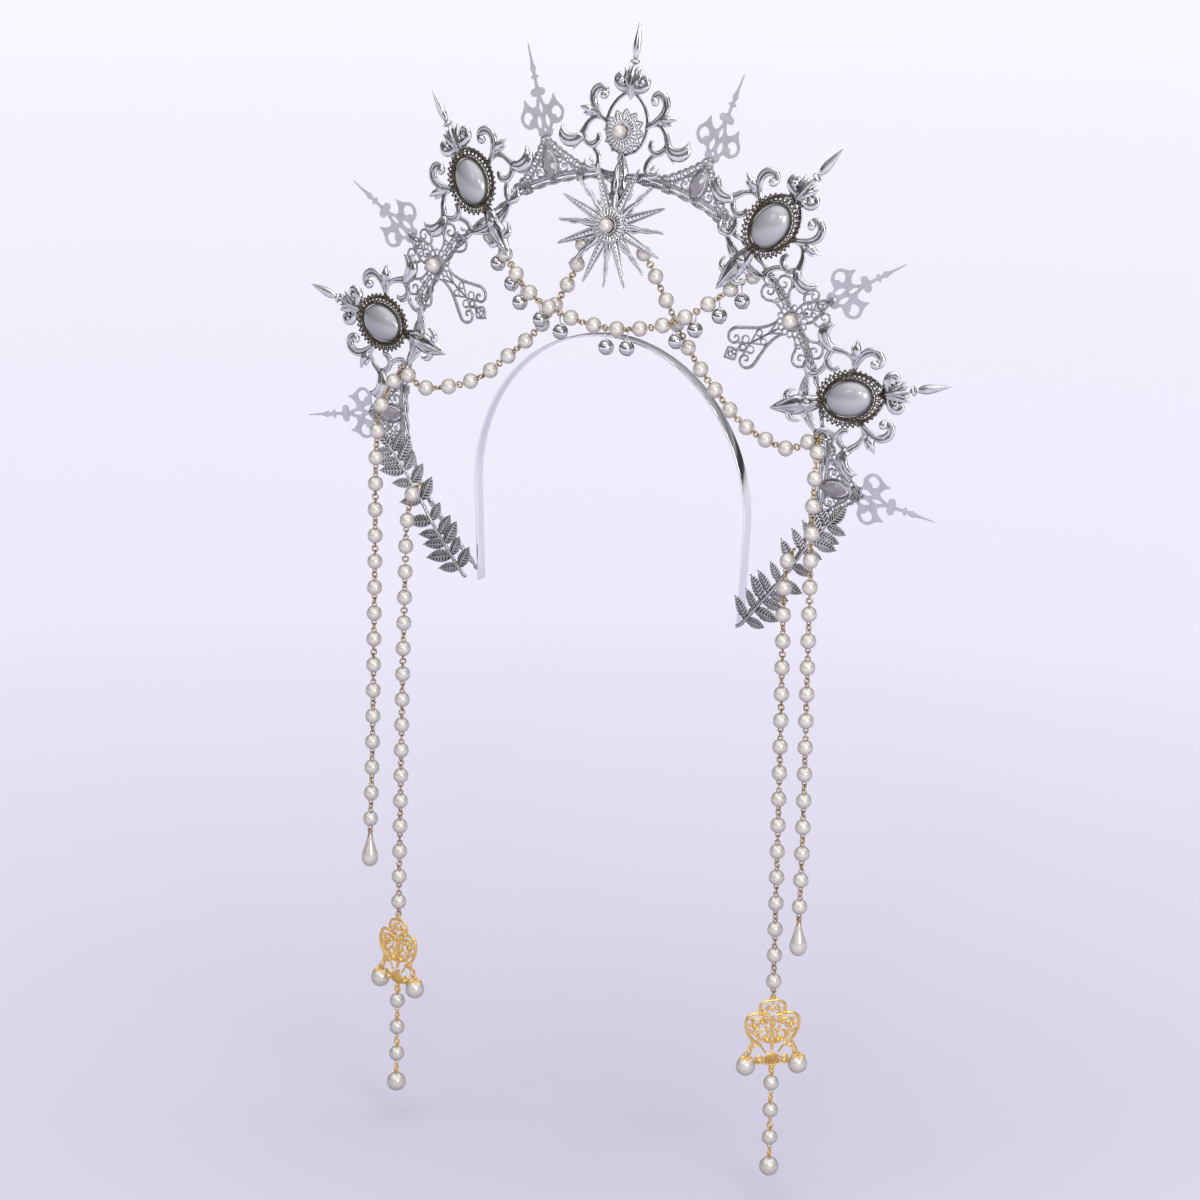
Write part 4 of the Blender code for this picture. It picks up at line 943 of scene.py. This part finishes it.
def makeHands():
    look = handLook
    outlines = [mirroredOutline(look["outline"])]
    for hole in (look["ringHole"], look["drop"]):
        outlines += [hole, [(-x, y) for x, y in hole]]
    outlines += [look["slit"], look["footHole"]]
    hand = plate(outlines, look["halfThickness"], 0.1)
    hold([hand])
    bpy.ops.object.shade_smooth_by_angle(angle=math.radians(40))
    lean = math.radians(crown["spireDish"] - crown["flatDish"])
    crossFront = (crown["crossBack"] - crown["gap"]) * math.cos(lean) - look["crossTip"] * math.sin(lean)
    spots = []
    for steps, name, overlap, turn in look["seats"]:
        tip, front = (look["crossTip"], crossFront) if steps == 3 else (look["laceTip"], -0.9)
        for side, way in (("left", -1), ("right", 1)):
            seat = onRing(way * steps, crown["flatDish"], tip - overlap, front - look["halfThickness"])
            spots.append((side + name, seat @ spun(-way * turn)))
    twins(hand, spots, "satinSilver", "clock_hand_")


makeHands()
print("clock hands cut")


# crosses

crossLook = {
    # the arms' scroll and strut are drawn once and stand above and below the middle
    "arm": [(6.6, 2.8, 0, .6), (10, 3.2, 0, .65), (13.2, 4.8, 0, .7), (15.4, 7.6, 0, .7), (18.4, 9, 0, .7),
            (21.2, 7.4, 0, .7), (22.2, 4.4, 0, .65), (20.6, 1.8, 0, .6), (17.8, 2, 0, .55),
            (16.6, 4.2, 0, .55), (18.0, 5.6, 0, .5), (19.2, 4.6, 0, .45)],
    "strut": [(7.0, 1.0, 0, .45), (12, .8, 0, .45), (16, 1.2, 0, .4), (21.4, .4, 0, .5)],
    "outline": [
        [(3.4, -7.6, 0, .7), (3.4, -12, 0, .75), (5.0, -18, 0, .8), (8.4, -25, 0, .85),
         (10.4, -29.4, 0, .85), (9.8, -33, 0, .8), (7.0, -34.8, 0, .75), (4.3, -33.6, 0, .7),
         (3.8, -31.0, 0, .65), (5.4, -29.6, 0, .6), (6.8, -30.6, 0, .55), (6.2, -31.8, 0, .5)],
        [(4.4, 6.6, 0, .7), (4.9, 10, 0, .75), (4.0, 13.4, 0, .8), (2.6, 17.4, 0, .75), (1.3, 21.2, 0, .7),
         (0, 24.3, 0, .6)],
        [(4.6, 10.2, 0, .65), (7.2, 10.8, 0, .7), (9.4, 13.6, 0, .7), (9.0, 17.4, 0, .65),
         (6.2, 19.2, 0, .6), (4.0, 17.4, 0, .55), (4.8, 15.0, 0, .5), (6.6, 15.2, 0, .45),
         (6.8, 16.6, 0, .4)],
        [(0, -41, 0, .5), (1.8, -38.8, 0, .7), (3.2, -36.8, 0, .65), (1.7, -34.8, 0, .6),
         (0, -33.2, 0, .6)],
    ],
    "inner": [
        [(0, -8, 0, .5), (0, -14, 0, .5), (0, -21, 0, .5), (0, -26, 0, .5)],
        [(0, -14.4, 0, .5), (1.4, -11, 0, .5), (2.8, -8, 0, .5)],
        [(4.0, -18.6, 0, .5), (2.0, -22, 0, .5), (0, -25.4, 0, .5), (1.6, -28.4, 0, .55),
         (3.6, -32, 0, .5)],
        [(0, -33.4, 0, .5), (1.8, -30.4, 0, .5), (4.2, -27.4, 0, .45)],
        [(0, -36.2, 0, .5), (1.5, -37.2, 0, .4), (0, -38.8, 0, .5)],
        [(0, 6.4, 0, .5), (2.2, 9.4, 0, .5), (0, 12.6, 0, .5), (2.0, 15.8, 0, .5), (0, 19, 0, .5),
         (.9, 21, 0, .4)],
    ],
    "circles": [(2.5, -18.7, 0, 1.6), (2.8, -26.8, 0, 1.9), (0, -29.8, 0, 1.5), (12.6, 2.6, 0, 1.0),
                (12.6, -2.6, 0, 1.0), (2.4, 11.8, 0, 1.2), (1.8, 16.6, 0, 1.0), (0, -35.2, 0, 1.1)],
    "dots": [(9.4, 0, .2, .8), (11.8, 0, .2, .85), (14.2, 0, .2, .9), (16.4, 0, .2, .8), (18.6, 0, .2, .9),
             (21.4, 0, .2, .9), (0, 8.8, .2, .8), (0, 15.6, .2, .8), (0, 21.6, .2, .8), (0, -17, .2, .7),
             (0, -41, 0, .6), (3.4, -36.8, 0, .6)],
    "rosetteLoops": 14, "pearl": 4.0,
}


def makeCrosses():
    look = crossLook
    arms = [[(x, way * y, z, r) for x, y, z, r in look["arm"]] for way in (-1, 1)]
    struts = [[(x, way * y, z, r) for x, y, z, r in look["strut"]] for way in (-1, 1)]
    beads = [(point[0], point[1], 0.62, 0.3)
             for rows in look["outline"][:2] + arms for point in bentLine(rows, 5)]
    loop = [(0, 4.6, .2, .4), (1.2, 5.9, .2, .42), (1.2, 7.3, .2, .42), (0, 8.2, .2, .5),
            (-1.2, 7.3, .2, .42), (-1.2, 5.9, .2, .42)]
    loops = [turnRows(loop, turn) for turn in spokes(look["rosetteLoops"])]
    cross = joined([wires(bothSides(look["outline"] + arms), 8, 4, flat=0.85),
                    wires(bothSides(look["inner"] + struts), 6, 3, flat=0.8),
                    wires(loops, 6, 2, closed=True), hoops(mirrored(look["circles"]), .42, 14, 6),
                    hoops([(0, 0, .3, 4.9), (0, 0, .5, 3.6)], .55, 28, 6),
                    balls(mirrored(look["dots"]), 2, 0.8), balls(mirrored(beads), 1)])
    cross.data.transform(Matrix.Translation((0, 0, 0.7)))
    for finish, prefix, piece, lift in (("laceSilver", "cross_", cross, 0),
                                        ("ivoryPearl", "cross_pearl_", makePearl(look["pearl"]), 1.7)):
        seats = [(name, onRing(steps, crown["spireDish"], 0, crown["crossBack"] + lift))
                 for name, steps in (("left", -3), ("right", 3))]
        twins(piece, seats, finish, prefix)


makeCrosses()
print("crosses made")


# laurel sprays

laurelLook = {
    "stem": [(-1.1, -4.0, 0, 1.0), (0, 0, 0, 1.0), (.6, 14, 0, 1.0), (1.1, 26.4, 0, .95),
             (.4, 48.4, 0, .85), (.8, 64, 0, .75), (1.8, 76, 0, .6)],
    "foot": (84.5, -88.5, 1.7), "turn": 38, "pairs": 10, "leafLength": 14.5, "leafWidth": 6.8, "ribs": 8,
    "opening": (62, -66),
}


def makeLeaf():
    # a pointed leaf with a midrib and slanting veins, lying along y
    look = laurelLook
    letGo()
    bpy.ops.mesh.primitive_grid_add(x_subdivisions=12, y_subdivisions=34, size=2, location=(0, 0, 0))
    leaf = bpy.context.object
    for vertex in leaf.data.vertices:
        across, share = vertex.co.x, (vertex.co.y + 1) / 2
        reach = math.sin(math.pi * share ** 0.82) ** 0.8 * look["leafWidth"] / 2 if 0 < share < 1 else 0.05
        y = share * look["leafLength"]
        slant = (share * look["leafLength"] - abs(across) * reach * 0.75) * look["ribs"] / look["leafLength"]
        vein = (0.5 + 0.5 * math.cos(math.tau * slant)) * 0.65 * min(1.0, abs(across) * 3)
        midrib = max(0.0, 1 - abs(across) / 0.16) * 0.6
        edge = 0.9 * (1 - abs(across)) ** 1.5 if across > 0 else 0.5 * (1 - abs(across))
        vertex.co = Vector((across * reach, y, vein + midrib + edge + 1.1 * share * share - 0.9))
    hold([leaf])
    wall = leaf.modifiers.new("wall", "SOLIDIFY")
    wall.thickness = 0.45
    wall.offset = -1
    bpy.ops.object.modifier_apply(modifier="wall")
    leaf.data.shade_smooth()
    return leaf


def makeLaurels():
    look = laurelLook
    line = bentLine(look["stem"], 10)
    leaf = makeLeaf()
    places = [Matrix.Translation(line[-3][:3]) @ spun(-4)]
    for pair in range(look["pairs"]):
        share = 0.2 + 0.74 * pair / (look["pairs"] - 1)
        root = Matrix.Translation(line[round(share * (len(line) - 1))][:3])
        for turn in look["opening"]:
            sized = 0.9 + 0.12 * math.sin(pair * 2.1 + turn)
            places.append(root @ spun(-turn - 3 * math.sin(pair * 1.7)) @ spun(8 if turn > 0 else -8, "Y")
                          @ Matrix.Scale(sized, 4))
    spray = joined(copies(leaf, places) + [wires([look["stem"]], 8, 6)])
    right = haloPlane() @ Matrix.Translation(look["foot"]) @ spun(-look["turn"])
    left = Matrix.Diagonal((-1, 1, 1, 1)) @ right
    twins(spray, [("right", right), ("left", left)], "leafMetal", "laurel_")


makeLaurels()
print("laurels made")


# pearl chains

chainLook = {
    "pearl": 4.0, "pitch": 13.3, "wire": 0.48, "linkRadius": 1.45, "endPearl": 5.0,
    "swag": [(0, -9.0, 6.2), (18, -9.0, 8.0), (36, -8.8, 12.8), (50, -7.0, 20.0), (62.5, -1.2, 29.5),
             (73.8, 3.2, 38.5)],
    "starChain": [(20.5, -1.0, 40.0), (26.2, .6, 28.0), (33.5, .8, 15.5), (43.0, 0, 1.0),
                  (53.5, -2.0, -10.5), (64.0, -3.5, -20.0), (74.5, -4.8, -29.0), (86.0, -6.5, -35.0),
                  (98.5, -8.0, -38.5), (110.0, -9.2, -39.5)],
    "outer": [(129.0, -17.0, -50.0), (129.9, -20.0, -75.0), (129.7, -20.2, -135.0), (129.7, -20.4, -230.0),
              (129.6, -21.6, -275.5)],
    "inner": [(112.0, -7.7, -91.5), (112.2, -13.5, -96.5), (112.8, -16.8, -112.0), (113.0, -17.0, -130.0),
              (113.5, -17.5, -195.0), (113.7, -18.0, -318.0)],
    "bellRadius": 3.9, "bellDrop": 9.6, "bareLinks": (5, 8), "tieTurn": 5.5,
}


def evenly(route):
    # the middles of the beads and the spots between them, each with the way ahead
    line = [Vector(point[:3]) for point in bentLine([(*row, 1) for row in route], 12)]
    total = [0.0]
    for start, end in zip(line, line[1:]):
        total.append(total[-1] + (end - start).length)
    count = round(total[-1] / chainLook["pitch"])
    step = total[-1] / count

    def at(distance):
        for start, end, low, high in zip(line, line[1:], total, total[1:]):
            if distance <= high:
                return start.lerp(end, (distance - low) / max(high - low, 1e-6)), (end - start).normalized()
        return line[-1], (line[-1] - line[-2]).normalized()

    beads = [at((index + 0.5) * step) for index in range(count)]
    return beads, [at(index * step) for index in range(count + 1)]


def pearlSeeds():
    pearl = globe(24, 16)
    letGo()
    bpy.ops.mesh.primitive_torus_add(major_radius=chainLook["linkRadius"], minor_radius=chainLook["wire"],
                                     major_segments=16, minor_segments=6, location=(0, 0, 0))
    link = bpy.context.object
    link.data.shade_smooth()
    return pearl, link


def chain(beads, gaps):
    # pearls, an eye on each side of every pearl and a ring between two eyes
    pearl, link = pearlSeeds()
    sized = Matrix.Scale(chainLook["pearl"], 4)
    pearls = joined(copies(pearl, [Matrix.Translation(spot) @ sized for spot, _ in beads]))
    places = []
    for index, (spot, ahead) in enumerate(gaps):
        turn = ahead.to_track_quat("X", "Z").to_matrix().to_4x4()
        twist = spun(90 if index % 2 else 35, "X")
        places.append(Matrix.Translation(spot) @ turn @ twist)
        for side in (-1, 1):
            if (index == 0 and side < 0) or (index == len(gaps) - 1 and side > 0):
                continue
            eye = Matrix.Translation(spot + ahead * side * 2.0)
            places.append(eye @ turn @ spun(90, "X") @ twist @ Matrix.Scale(0.8, 4))
    return [paint(pearls, "ivoryPearl"), paint(joined(copies(link, places)), "champagne")]


def makeBell():
    # a mirror ball with a seam, an eye on top, and a slit with two holes below
    radius = chainLook["bellRadius"]
    bell = paint(globe(20, 14, radius), "mirrorSilver")
    cap = hoops([(0, 0, radius - .1, 1.1)], .45, 12, 6)
    seam = hoops([(0, 0, 0, radius)], .22, 24, 4)
    slit = hoops([(0, 0, 0, radius - .15)], .3, 24, 6)
    slit.data.transform(spun(90, "X"))
    cutLevel(-1, clear_outer=True)
    holes = balls([(side * 2.1, 0, -3.1, .75) for side in (-1, 1)], 2)
    return joined([bell, cap, seam, paint(slit, "leafMetal"), paint(holes, "leafMetal")])


def makeSwag():
    look = chainLook
    angle = math.radians(2 * crown["step"] + look["tieTurn"])
    reach = crown["ringRadius"] - crown["ringWire"] - crown["gap"] - crown["chainWire"]
    tie = haloPlane() @ Vector((reach * math.sin(angle), reach * math.cos(angle), 0))
    beads, gaps = evenly(acrossMiddle([Vector(row) for row in look["swag"]] + [tie]))
    parts = chain(beads, gaps)
    bell = makeBell()
    places, ties = [], []
    for index, (spot, _) in enumerate(gaps[1:-1]):
        if index in look["bareLinks"]:
            continue
        low = spot + Vector((1.2 * math.sin(index * 2.3), -0.6 * math.cos(index), -look["bellDrop"]))
        places.append(Matrix.Translation(low) @ spun(12 * math.sin(index * 1.9), "Y"))
        top = low + Vector((0, 0, look["bellRadius"]))
        ties.append([(*point, .35) for point in (spot, spot.lerp(low, 0.3), top)])
    parts.append(joined(copies(bell, places)))
    parts.append(paint(wires(ties, 6, 2), "mirrorSilver"))
    settle(joined(parts), "look_pearl_swag", "ivoryPearl")


def chainEnd():
    grip = crown["spireDepth"] + crown["gap"] + crown["chainWire"]
    return onRing(4, crown["spireDish"], 0, crown["spireMiddle"] + grip) @ Vector((17, -.8, 0))


def makeStrands():
    look = chainLook
    ray = -math.tau * 5 / starLook["rays"]
    reach = starLook["radius"] * 0.52
    start = starSpot() @ Vector((-reach * math.sin(ray), reach * math.cos(ray), -1.1))
    tie = chainEnd() - Vector((0, 0, crown["chainWire"] * 1.6 + crown["gap"]))
    routes = (("star_chain_", [tuple(start)] + look["starChain"] + [tuple(chainEnd())]),
              ("outer_strand_", [tuple(tie)] + look["outer"]), ("inner_strand_", look["inner"]))
    for side, way in (("right", 1), ("left", -1)):
        for name, route in routes:
            strand = chain(*evenly([(way * x, y, z) for x, y, z in route]))
            settle(joined(strand), "look_" + name + side, "ivoryPearl")


dropLook = {
    "teardrop": [(0, .5), (.7, 1.0), (2.4, 1.5), (5.5, 2.3), (8.6, 3.3), (11.4, 4.2), (13.4, 4.4),
                 (15.4, 4.1), (17.2, 2.9), (18.2, 1.4), (18.5, .3)],
    "filigreeTurns": {"right": 45, "left": -14}, "pearlPlace": (13.4, -37.0), "loop": (10.2, -27.0),
    "filigreeHeight": 39.5,
}
filigreeLook = {
    "scrolls": [
        [(0, -3.0, 0, .6), (3.0, -3.2, 0, .6), (5.8, -4.8, 0, .6), (6.6, -7.6, 0, .55), (4.8, -9.4, 0, .5),
         (3.0, -8.2, 0, .45), (3.8, -6.6, 0, .4)],
        [(1.4, -11.0, 0, .6), (4.6, -10.4, 0, .65), (8.6, -9.6, 0, .7), (12.0, -10.8, 0, .7),
         (13.6, -14.2, 0, .7), (13.0, -18.6, 0, .7), (10.8, -22.6, 0, .65), (7.6, -25.2, 0, .6),
         (5.6, -26.2, 0, .55)],
        [(2.4, -15.2, 0, .5), (5.0, -12.8, 0, .55), (8.6, -12.6, 0, .55), (10.4, -15.2, 0, .5),
         (9.0, -17.6, 0, .5), (6.8, -16.6, 0, .45), (7.6, -15.0, 0, .4)],
        [(2.0, -19.0, 0, .5), (4.6, -18.4, 0, .5), (6.8, -20.2, 0, .5), (6.4, -23.0, 0, .5),
         (4.0, -24.0, 0, .5), (2.6, -22.2, 0, .45), (4.2, -21.2, 0, .4)],
        [(0, -11.4, 0, .6), (1.0, -15, 0, .5), (0, -19, 0, .6), (1.0, -23, 0, .5), (0, -27, 0, .6)],
        [(6.0, -25.8, 0, .5), (8.2, -26.8, 0, .5), (10.4, -26.2, 0, .5), (10.0, -24.2, 0, .45)],
        [(6.0, -26.4, 0, .45), (4.6, -28.6, 0, .45), (3.2, -30.4, 0, .45)],
        [(4.6, -33.4, 0, .5), (6.4, -32.0, 0, .5), (8.2, -33.0, 0, .5), (8.0, -35.4, 0, .5),
         (6.2, -35.8, 0, .45), (5.8, -34.2, 0, .4)],
        [(11.4, -12.6, 0, .4), (9.6, -14.8, 0, .4)],
        [(12.0, -17.6, 0, .4), (9.6, -20.6, 0, .4), (7.0, -20.4, 0, .4)],
    ],
    "balls": [(0, -4.8, .3, .9), (2.6, -5.4, .3, .8), (0, -8.2, .3, .9), (2.2, -9.8, .3, .7),
              (5.4, -7.4, .3, .8), (6.6, -10.0, .3, .8), (4.8, -14.6, .4, 1.0), (7.6, -14.8, .4, .9),
              (10.6, -12.4, .3, .7), (3.6, -16.6, .4, .8), (9.6, -18.6, .3, .8), (2.0, -13.0, .3, .8),
              (0, -15.4, .4, .9), (4.2, -22.2, .4, 1.1), (7.8, -21.6, .3, .8), (7.6, -23.8, .3, .7),
              (1.8, -25.0, .3, .7), (2.2, -20.4, .3, .7), (7.0, -34.0, .4, 1.0), (0, -28.0, .4, .9),
              (10.4, -24.4, .3, .8), (11.4, -15.4, .3, .9), (0, -38.0, .4, 1.2), (2.8, -23.6, .6, 1.7),
              (9.4, -16.0, .5, 1.3), (5.6, -14.2, .5, 1.2), (2.4, -18.6, .5, 1.2), (6.0, -9.6, .4, 1.1),
              (1.8, -7.0, .4, 1.1), (6.2, -34.6, .6, 1.5), (0, -1.0, .5, .8), (3.8, -12.0, .4, 1.0),
              (7.6, -19.6, .4, 1.1)],
    "fanRibs": 9, "fanTop": -29.6, "fanRadius": 7.2, "heavier": 1.25,
}


def fanRow(angle, reach, z, radius):
    angle = math.radians(angle)
    return (math.sin(angle) * reach, filigreeLook["fanTop"] - math.cos(angle) * reach, z, radius)


def makeFiligree():
    look = filigreeLook
    ribs = []
    for index in range(look["fanRibs"]):
        angle = -52 + 104 * index / (look["fanRibs"] - 1)
        ribs.append([fanRow(angle, look["fanRadius"] * share, z, r)
                     for share, z, r in ((0, .3, .3), (.5, .8, .38), (1, .4, .46))])
    rim = [fanRow(angle, 7.3, 0, .4) for angle in range(-54, 55, 12)]
    scrolls = heavier(look["scrolls"], look["heavier"])
    middle = [row for row in look["balls"] if not row[0]]
    beside = mirrored([row for row in look["balls"] if row[0]])
    eyes = [(0, -1.5, 0, 1.3), (10.6, -26.8, 0, 1.0), (-10.6, -26.8, 0, 1.0), (0, -38.2, 0, 1.1)]
    shell = [(0, look["fanTop"], -.3, .6), (0, -33, -.3, 3.2), (0, -36.2, -.3, 4.4), (0, -36.9, -.3, 1.0)]
    return joined([wires(bothSides(scrolls), 8, 4), wires(ribs + [rim], 6, 3), balls(middle + beside, 2),
                   hoops(eyes, .45, 16, 6), wires([shell], 12, 3, flat=0.08)])


def makeSidePearl(name, place, way):
    # a capped pearl on a ring beside the filigree's foot
    look = dropLook
    pearl, link = pearlSeeds()
    radius = chainLook["endPearl"]
    middle = place @ Vector((way * look["pearlPlace"][0], look["pearlPlace"][1], 0))
    loop = place @ Vector((way * look["loop"][0], look["loop"][1], 0))
    top = middle + Vector((0, 0, radius))
    pearls = joined(copies(pearl, [Matrix.Translation(middle) @ Matrix.Scale(radius, 4)]))
    eye = Matrix.Translation(top + Vector((0, 0, 0.8))) @ spun(90, "X") @ Matrix.Scale(0.8, 4)
    ring = Matrix.Translation(top.lerp(loop, 0.55)) @ spun(90, "X") @ spun(90, "Y") @ Matrix.Scale(1.15, 4)
    links = joined(copies(link, [eye, ring]))
    petals = []
    for index in range(8):
        angle = math.tau * index / 8
        rows = []
        for tilt, thick in ((4, .5), (22, .55), (38, .5), (48, .3)):
            lean = math.radians(tilt)
            out = Vector((math.cos(angle), math.sin(angle), 0)) * math.sin(lean)
            out.z = math.cos(lean)
            rows.append((*(middle + out * (radius + .1)), thick))
        petals.append(rows)
    parts = [paint(pearls, "ivoryPearl"), paint(links, "gold"), paint(wires(petals, 6, 2), "gold")]
    settle(joined(parts), "look_side_pearl_" + name, "ivoryPearl")


def makeEndPearls(side, top):
    look = chainLook
    half = (look["pitch"] - 2 * look["pearl"]) / 2
    height = top.z
    pearl, link = pearlSeeds()
    beads, rings = [], []
    for index, radius in enumerate((look["pearl"], look["pearl"], look["pearl"], look["endPearl"])):
        rings.append((height - 0.4, 1.0, index))
        height -= radius + half
        beads.append(Matrix.Translation((top.x, top.y, height)) @ Matrix.Scale(radius, 4))
        rings.append((height + radius + 0.7, 0.75, index + 1))
        if index < 3:
            rings.append((height - radius - 0.7, 0.75, index))
        height -= radius + half * 1.4
    pearls = paint(joined(copies(pearl, beads)), "ivoryPearl")
    places = [Matrix.Translation((top.x, top.y, z)) @ spun(90, "X") @ spun(90 * (turn % 2), "Y")
              @ Matrix.Scale(size, 4) for z, size, turn in rings]
    links = paint(joined(copies(link, places)), "gold")
    settle(joined([pearls, links]), "look_end_pearls_" + side, "ivoryPearl")


def makeDrops():
    look = chainLook
    for side, way in (("right", 1), ("left", -1)):
        x, y, z = look["outer"][-1]
        end = Vector((way * x, y, z - crown["gap"]))
        rows = [(end.x, end.y, end.z - down, radius) for down, radius in dropLook["teardrop"]]
        drop = paint(wires([rows], 24, 3), "ivoryPearl")
        cap = wires([rows[:3]], 16, 2)
        cap.data.transform(Matrix.Translation((0, 0, 0.05)))
        turns = [math.tau * step / 8 for step in range(8)]
        eye = [(end.x + math.sin(turn) * 1.2, end.y, end.z + .6 + math.cos(turn) * 1.2, .4)
               for turn in turns]
        ring = wires([eye], 6, 2, closed=True)
        settle(joined([drop, paint(cap, "champagne"), paint(ring, "champagne")]), "look_teardrop_" + side,
               "ivoryPearl")
        x, y, z = look["inner"][-1]
        top = Vector((way * x, y, z - crown["gap"]))
        facing = Matrix.Translation(top) @ spun(dropLook["filigreeTurns"][side]) @ spun(90, "X")
        settle(makeFiligree(), "look_filigree_" + side, "gold", facing)
        makeSidePearl(side + "_outer", facing, way)
        makeSidePearl(side + "_inner", facing, -way)
        makeEndPearls(side, top - Vector((0, 0, dropLook["filigreeHeight"] + crown["gap"])))


makeSwag()
print("slung chain made")
makeStrands()
makeDrops()
print("strands and drops made")


# floor, light and camera

studio = {
    # the backdrop's tint at shares of floorReach from the crown, painted darker near it as the light falls
    # off towards the front
    "paintedFloorFalloff": ((0.0, (0.54, 0.515, 0.62)), (0.28, (0.80, 0.77, 0.885)), (0.85, (0.95, 0.93, 0.985))),
    "floorReach": 4.0, "floorDrop": 0.012, "floorSize": 60,
    # the sky's greys from below to above, with the dark bands that the metal mirrors
    "skyGreys": ((0.03, 0.42), (0.07, 0.02), (0.22, 0.03), (0.28, 0.27), (0.36, 0.11), (0.5, 0.25),
                 (0.72, 0.32), (0.8, 1.0)),
    "skyBelow": (0.42, 0.41, 0.45), "skyAbove": (1.0, 1.0, 1.02), "skyPower": 1.80,
    # name, place, what it looks at, side length, power
    "panels": (("keyPanel", (1.2, -2.3, 1.5), (0, 0, -0.05), 0.3, 7),
               ("sidePanel", (2.0, -1.4, 0.80), (0, 0, -0.05), 1.05, 22),
               ("fillPanel", (-0.4, -1.9, 1.3), (0, 0, -0.1), 0.5, 2)),
}
cameraLook = {"place": (1.965884, -3.077147, 0.822802), "right": (0.83906809, 0.54367482, 0.01955572),
              "up": (-0.15401315, 0.20290982, 0.96700959), "back": (0.52177072, -0.81439873, 0.25398823),
              "lens": 224.61}


def addRamp(tree, share, stops):
    # a colour ramp through the stops; its own two ends take the first and the last
    ramp = addNode(tree, "ValToRGB", {"Fac": share})
    ends = ramp.color_ramp.elements
    for own, (position, colour) in ((ends[0], stops[0]), (ends[1], stops[-1])):
        own.position = position
        own.color = (*colour, 1)
    for position, colour in stops[1:-1]:
        ends.new(position).color = (*colour, 1)
    return ramp.outputs["Color"]


def makeFloor():
    letGo()
    bpy.ops.mesh.primitive_plane_add(size=studio["floorSize"],
                                     location=(0, 0, cadBox[0][2] - studio["floorDrop"]))
    floor = bpy.context.object
    floor.name = "floor"
    tree, shader = newFinish("floorPaint", {"Roughness": 0.9, "Specular IOR Level": 0.1})
    far = addNode(tree, "VectorMath", {0: addNode(tree, "TexCoord").outputs["Object"]}, operation="LENGTH")
    share = addNode(tree, "MapRange", {"Value": far.outputs["Value"], "From Max": studio["floorReach"]})
    feed(tree, shader["Base Color"], addRamp(tree, share.outputs["Result"], studio["paintedFloorFalloff"]))
    floor.data.materials.append(bpy.data.materials["floorPaint"])


def makeWorld():
    world = bpy.data.worlds.new("studio")
    bpy.context.scene.world = world
    world.use_nodes = True
    tree = world.node_tree
    split = addNode(tree, "SeparateXYZ", {0: addNode(tree, "TexCoord").outputs["Generated"]})
    greys = [(height, (value, value, value * 1.03)) for height, value in studio["skyGreys"]]
    sky = addRamp(tree, split.outputs["Z"], [(0.0, studio["skyBelow"]), *greys, (1.0, studio["skyAbove"])])
    feed(tree, tree.nodes["Background"].inputs["Color"], sky)
    feed(tree, tree.nodes["Background"].inputs["Strength"], studio["skyPower"])


def addPanel(name, place, aim, side, power):
    letGo()
    bpy.ops.object.light_add(type="AREA", location=place)
    panel = bpy.context.object
    panel.name = name
    panel.data.shape = "RECTANGLE"
    panel.data.size = side
    panel.data.size_y = side
    panel.data.energy = power
    panel.rotation_euler = (Vector(aim) - Vector(place)).to_track_quat("-Z", "Y").to_euler()


def makeCamera():
    look = cameraLook
    lens = bpy.data.cameras.new("camera")
    lens.sensor_width = 36
    lens.lens = look["lens"]
    lens.clip_end = 100
    camera = bpy.data.objects.new("camera", lens)
    facing = Matrix((look["right"], look["up"], look["back"])).transposed().to_4x4()
    camera.matrix_world = Matrix.Translation(look["place"]) @ facing
    bpy.context.collection.objects.link(camera)
    bpy.context.scene.camera = camera


makeFloor()
makeWorld()
for panelRow in studio["panels"]:
    addPanel(*panelRow)
makeCamera()
bpy.context.scene.view_settings.view_transform = "Standard"
print("studio set")
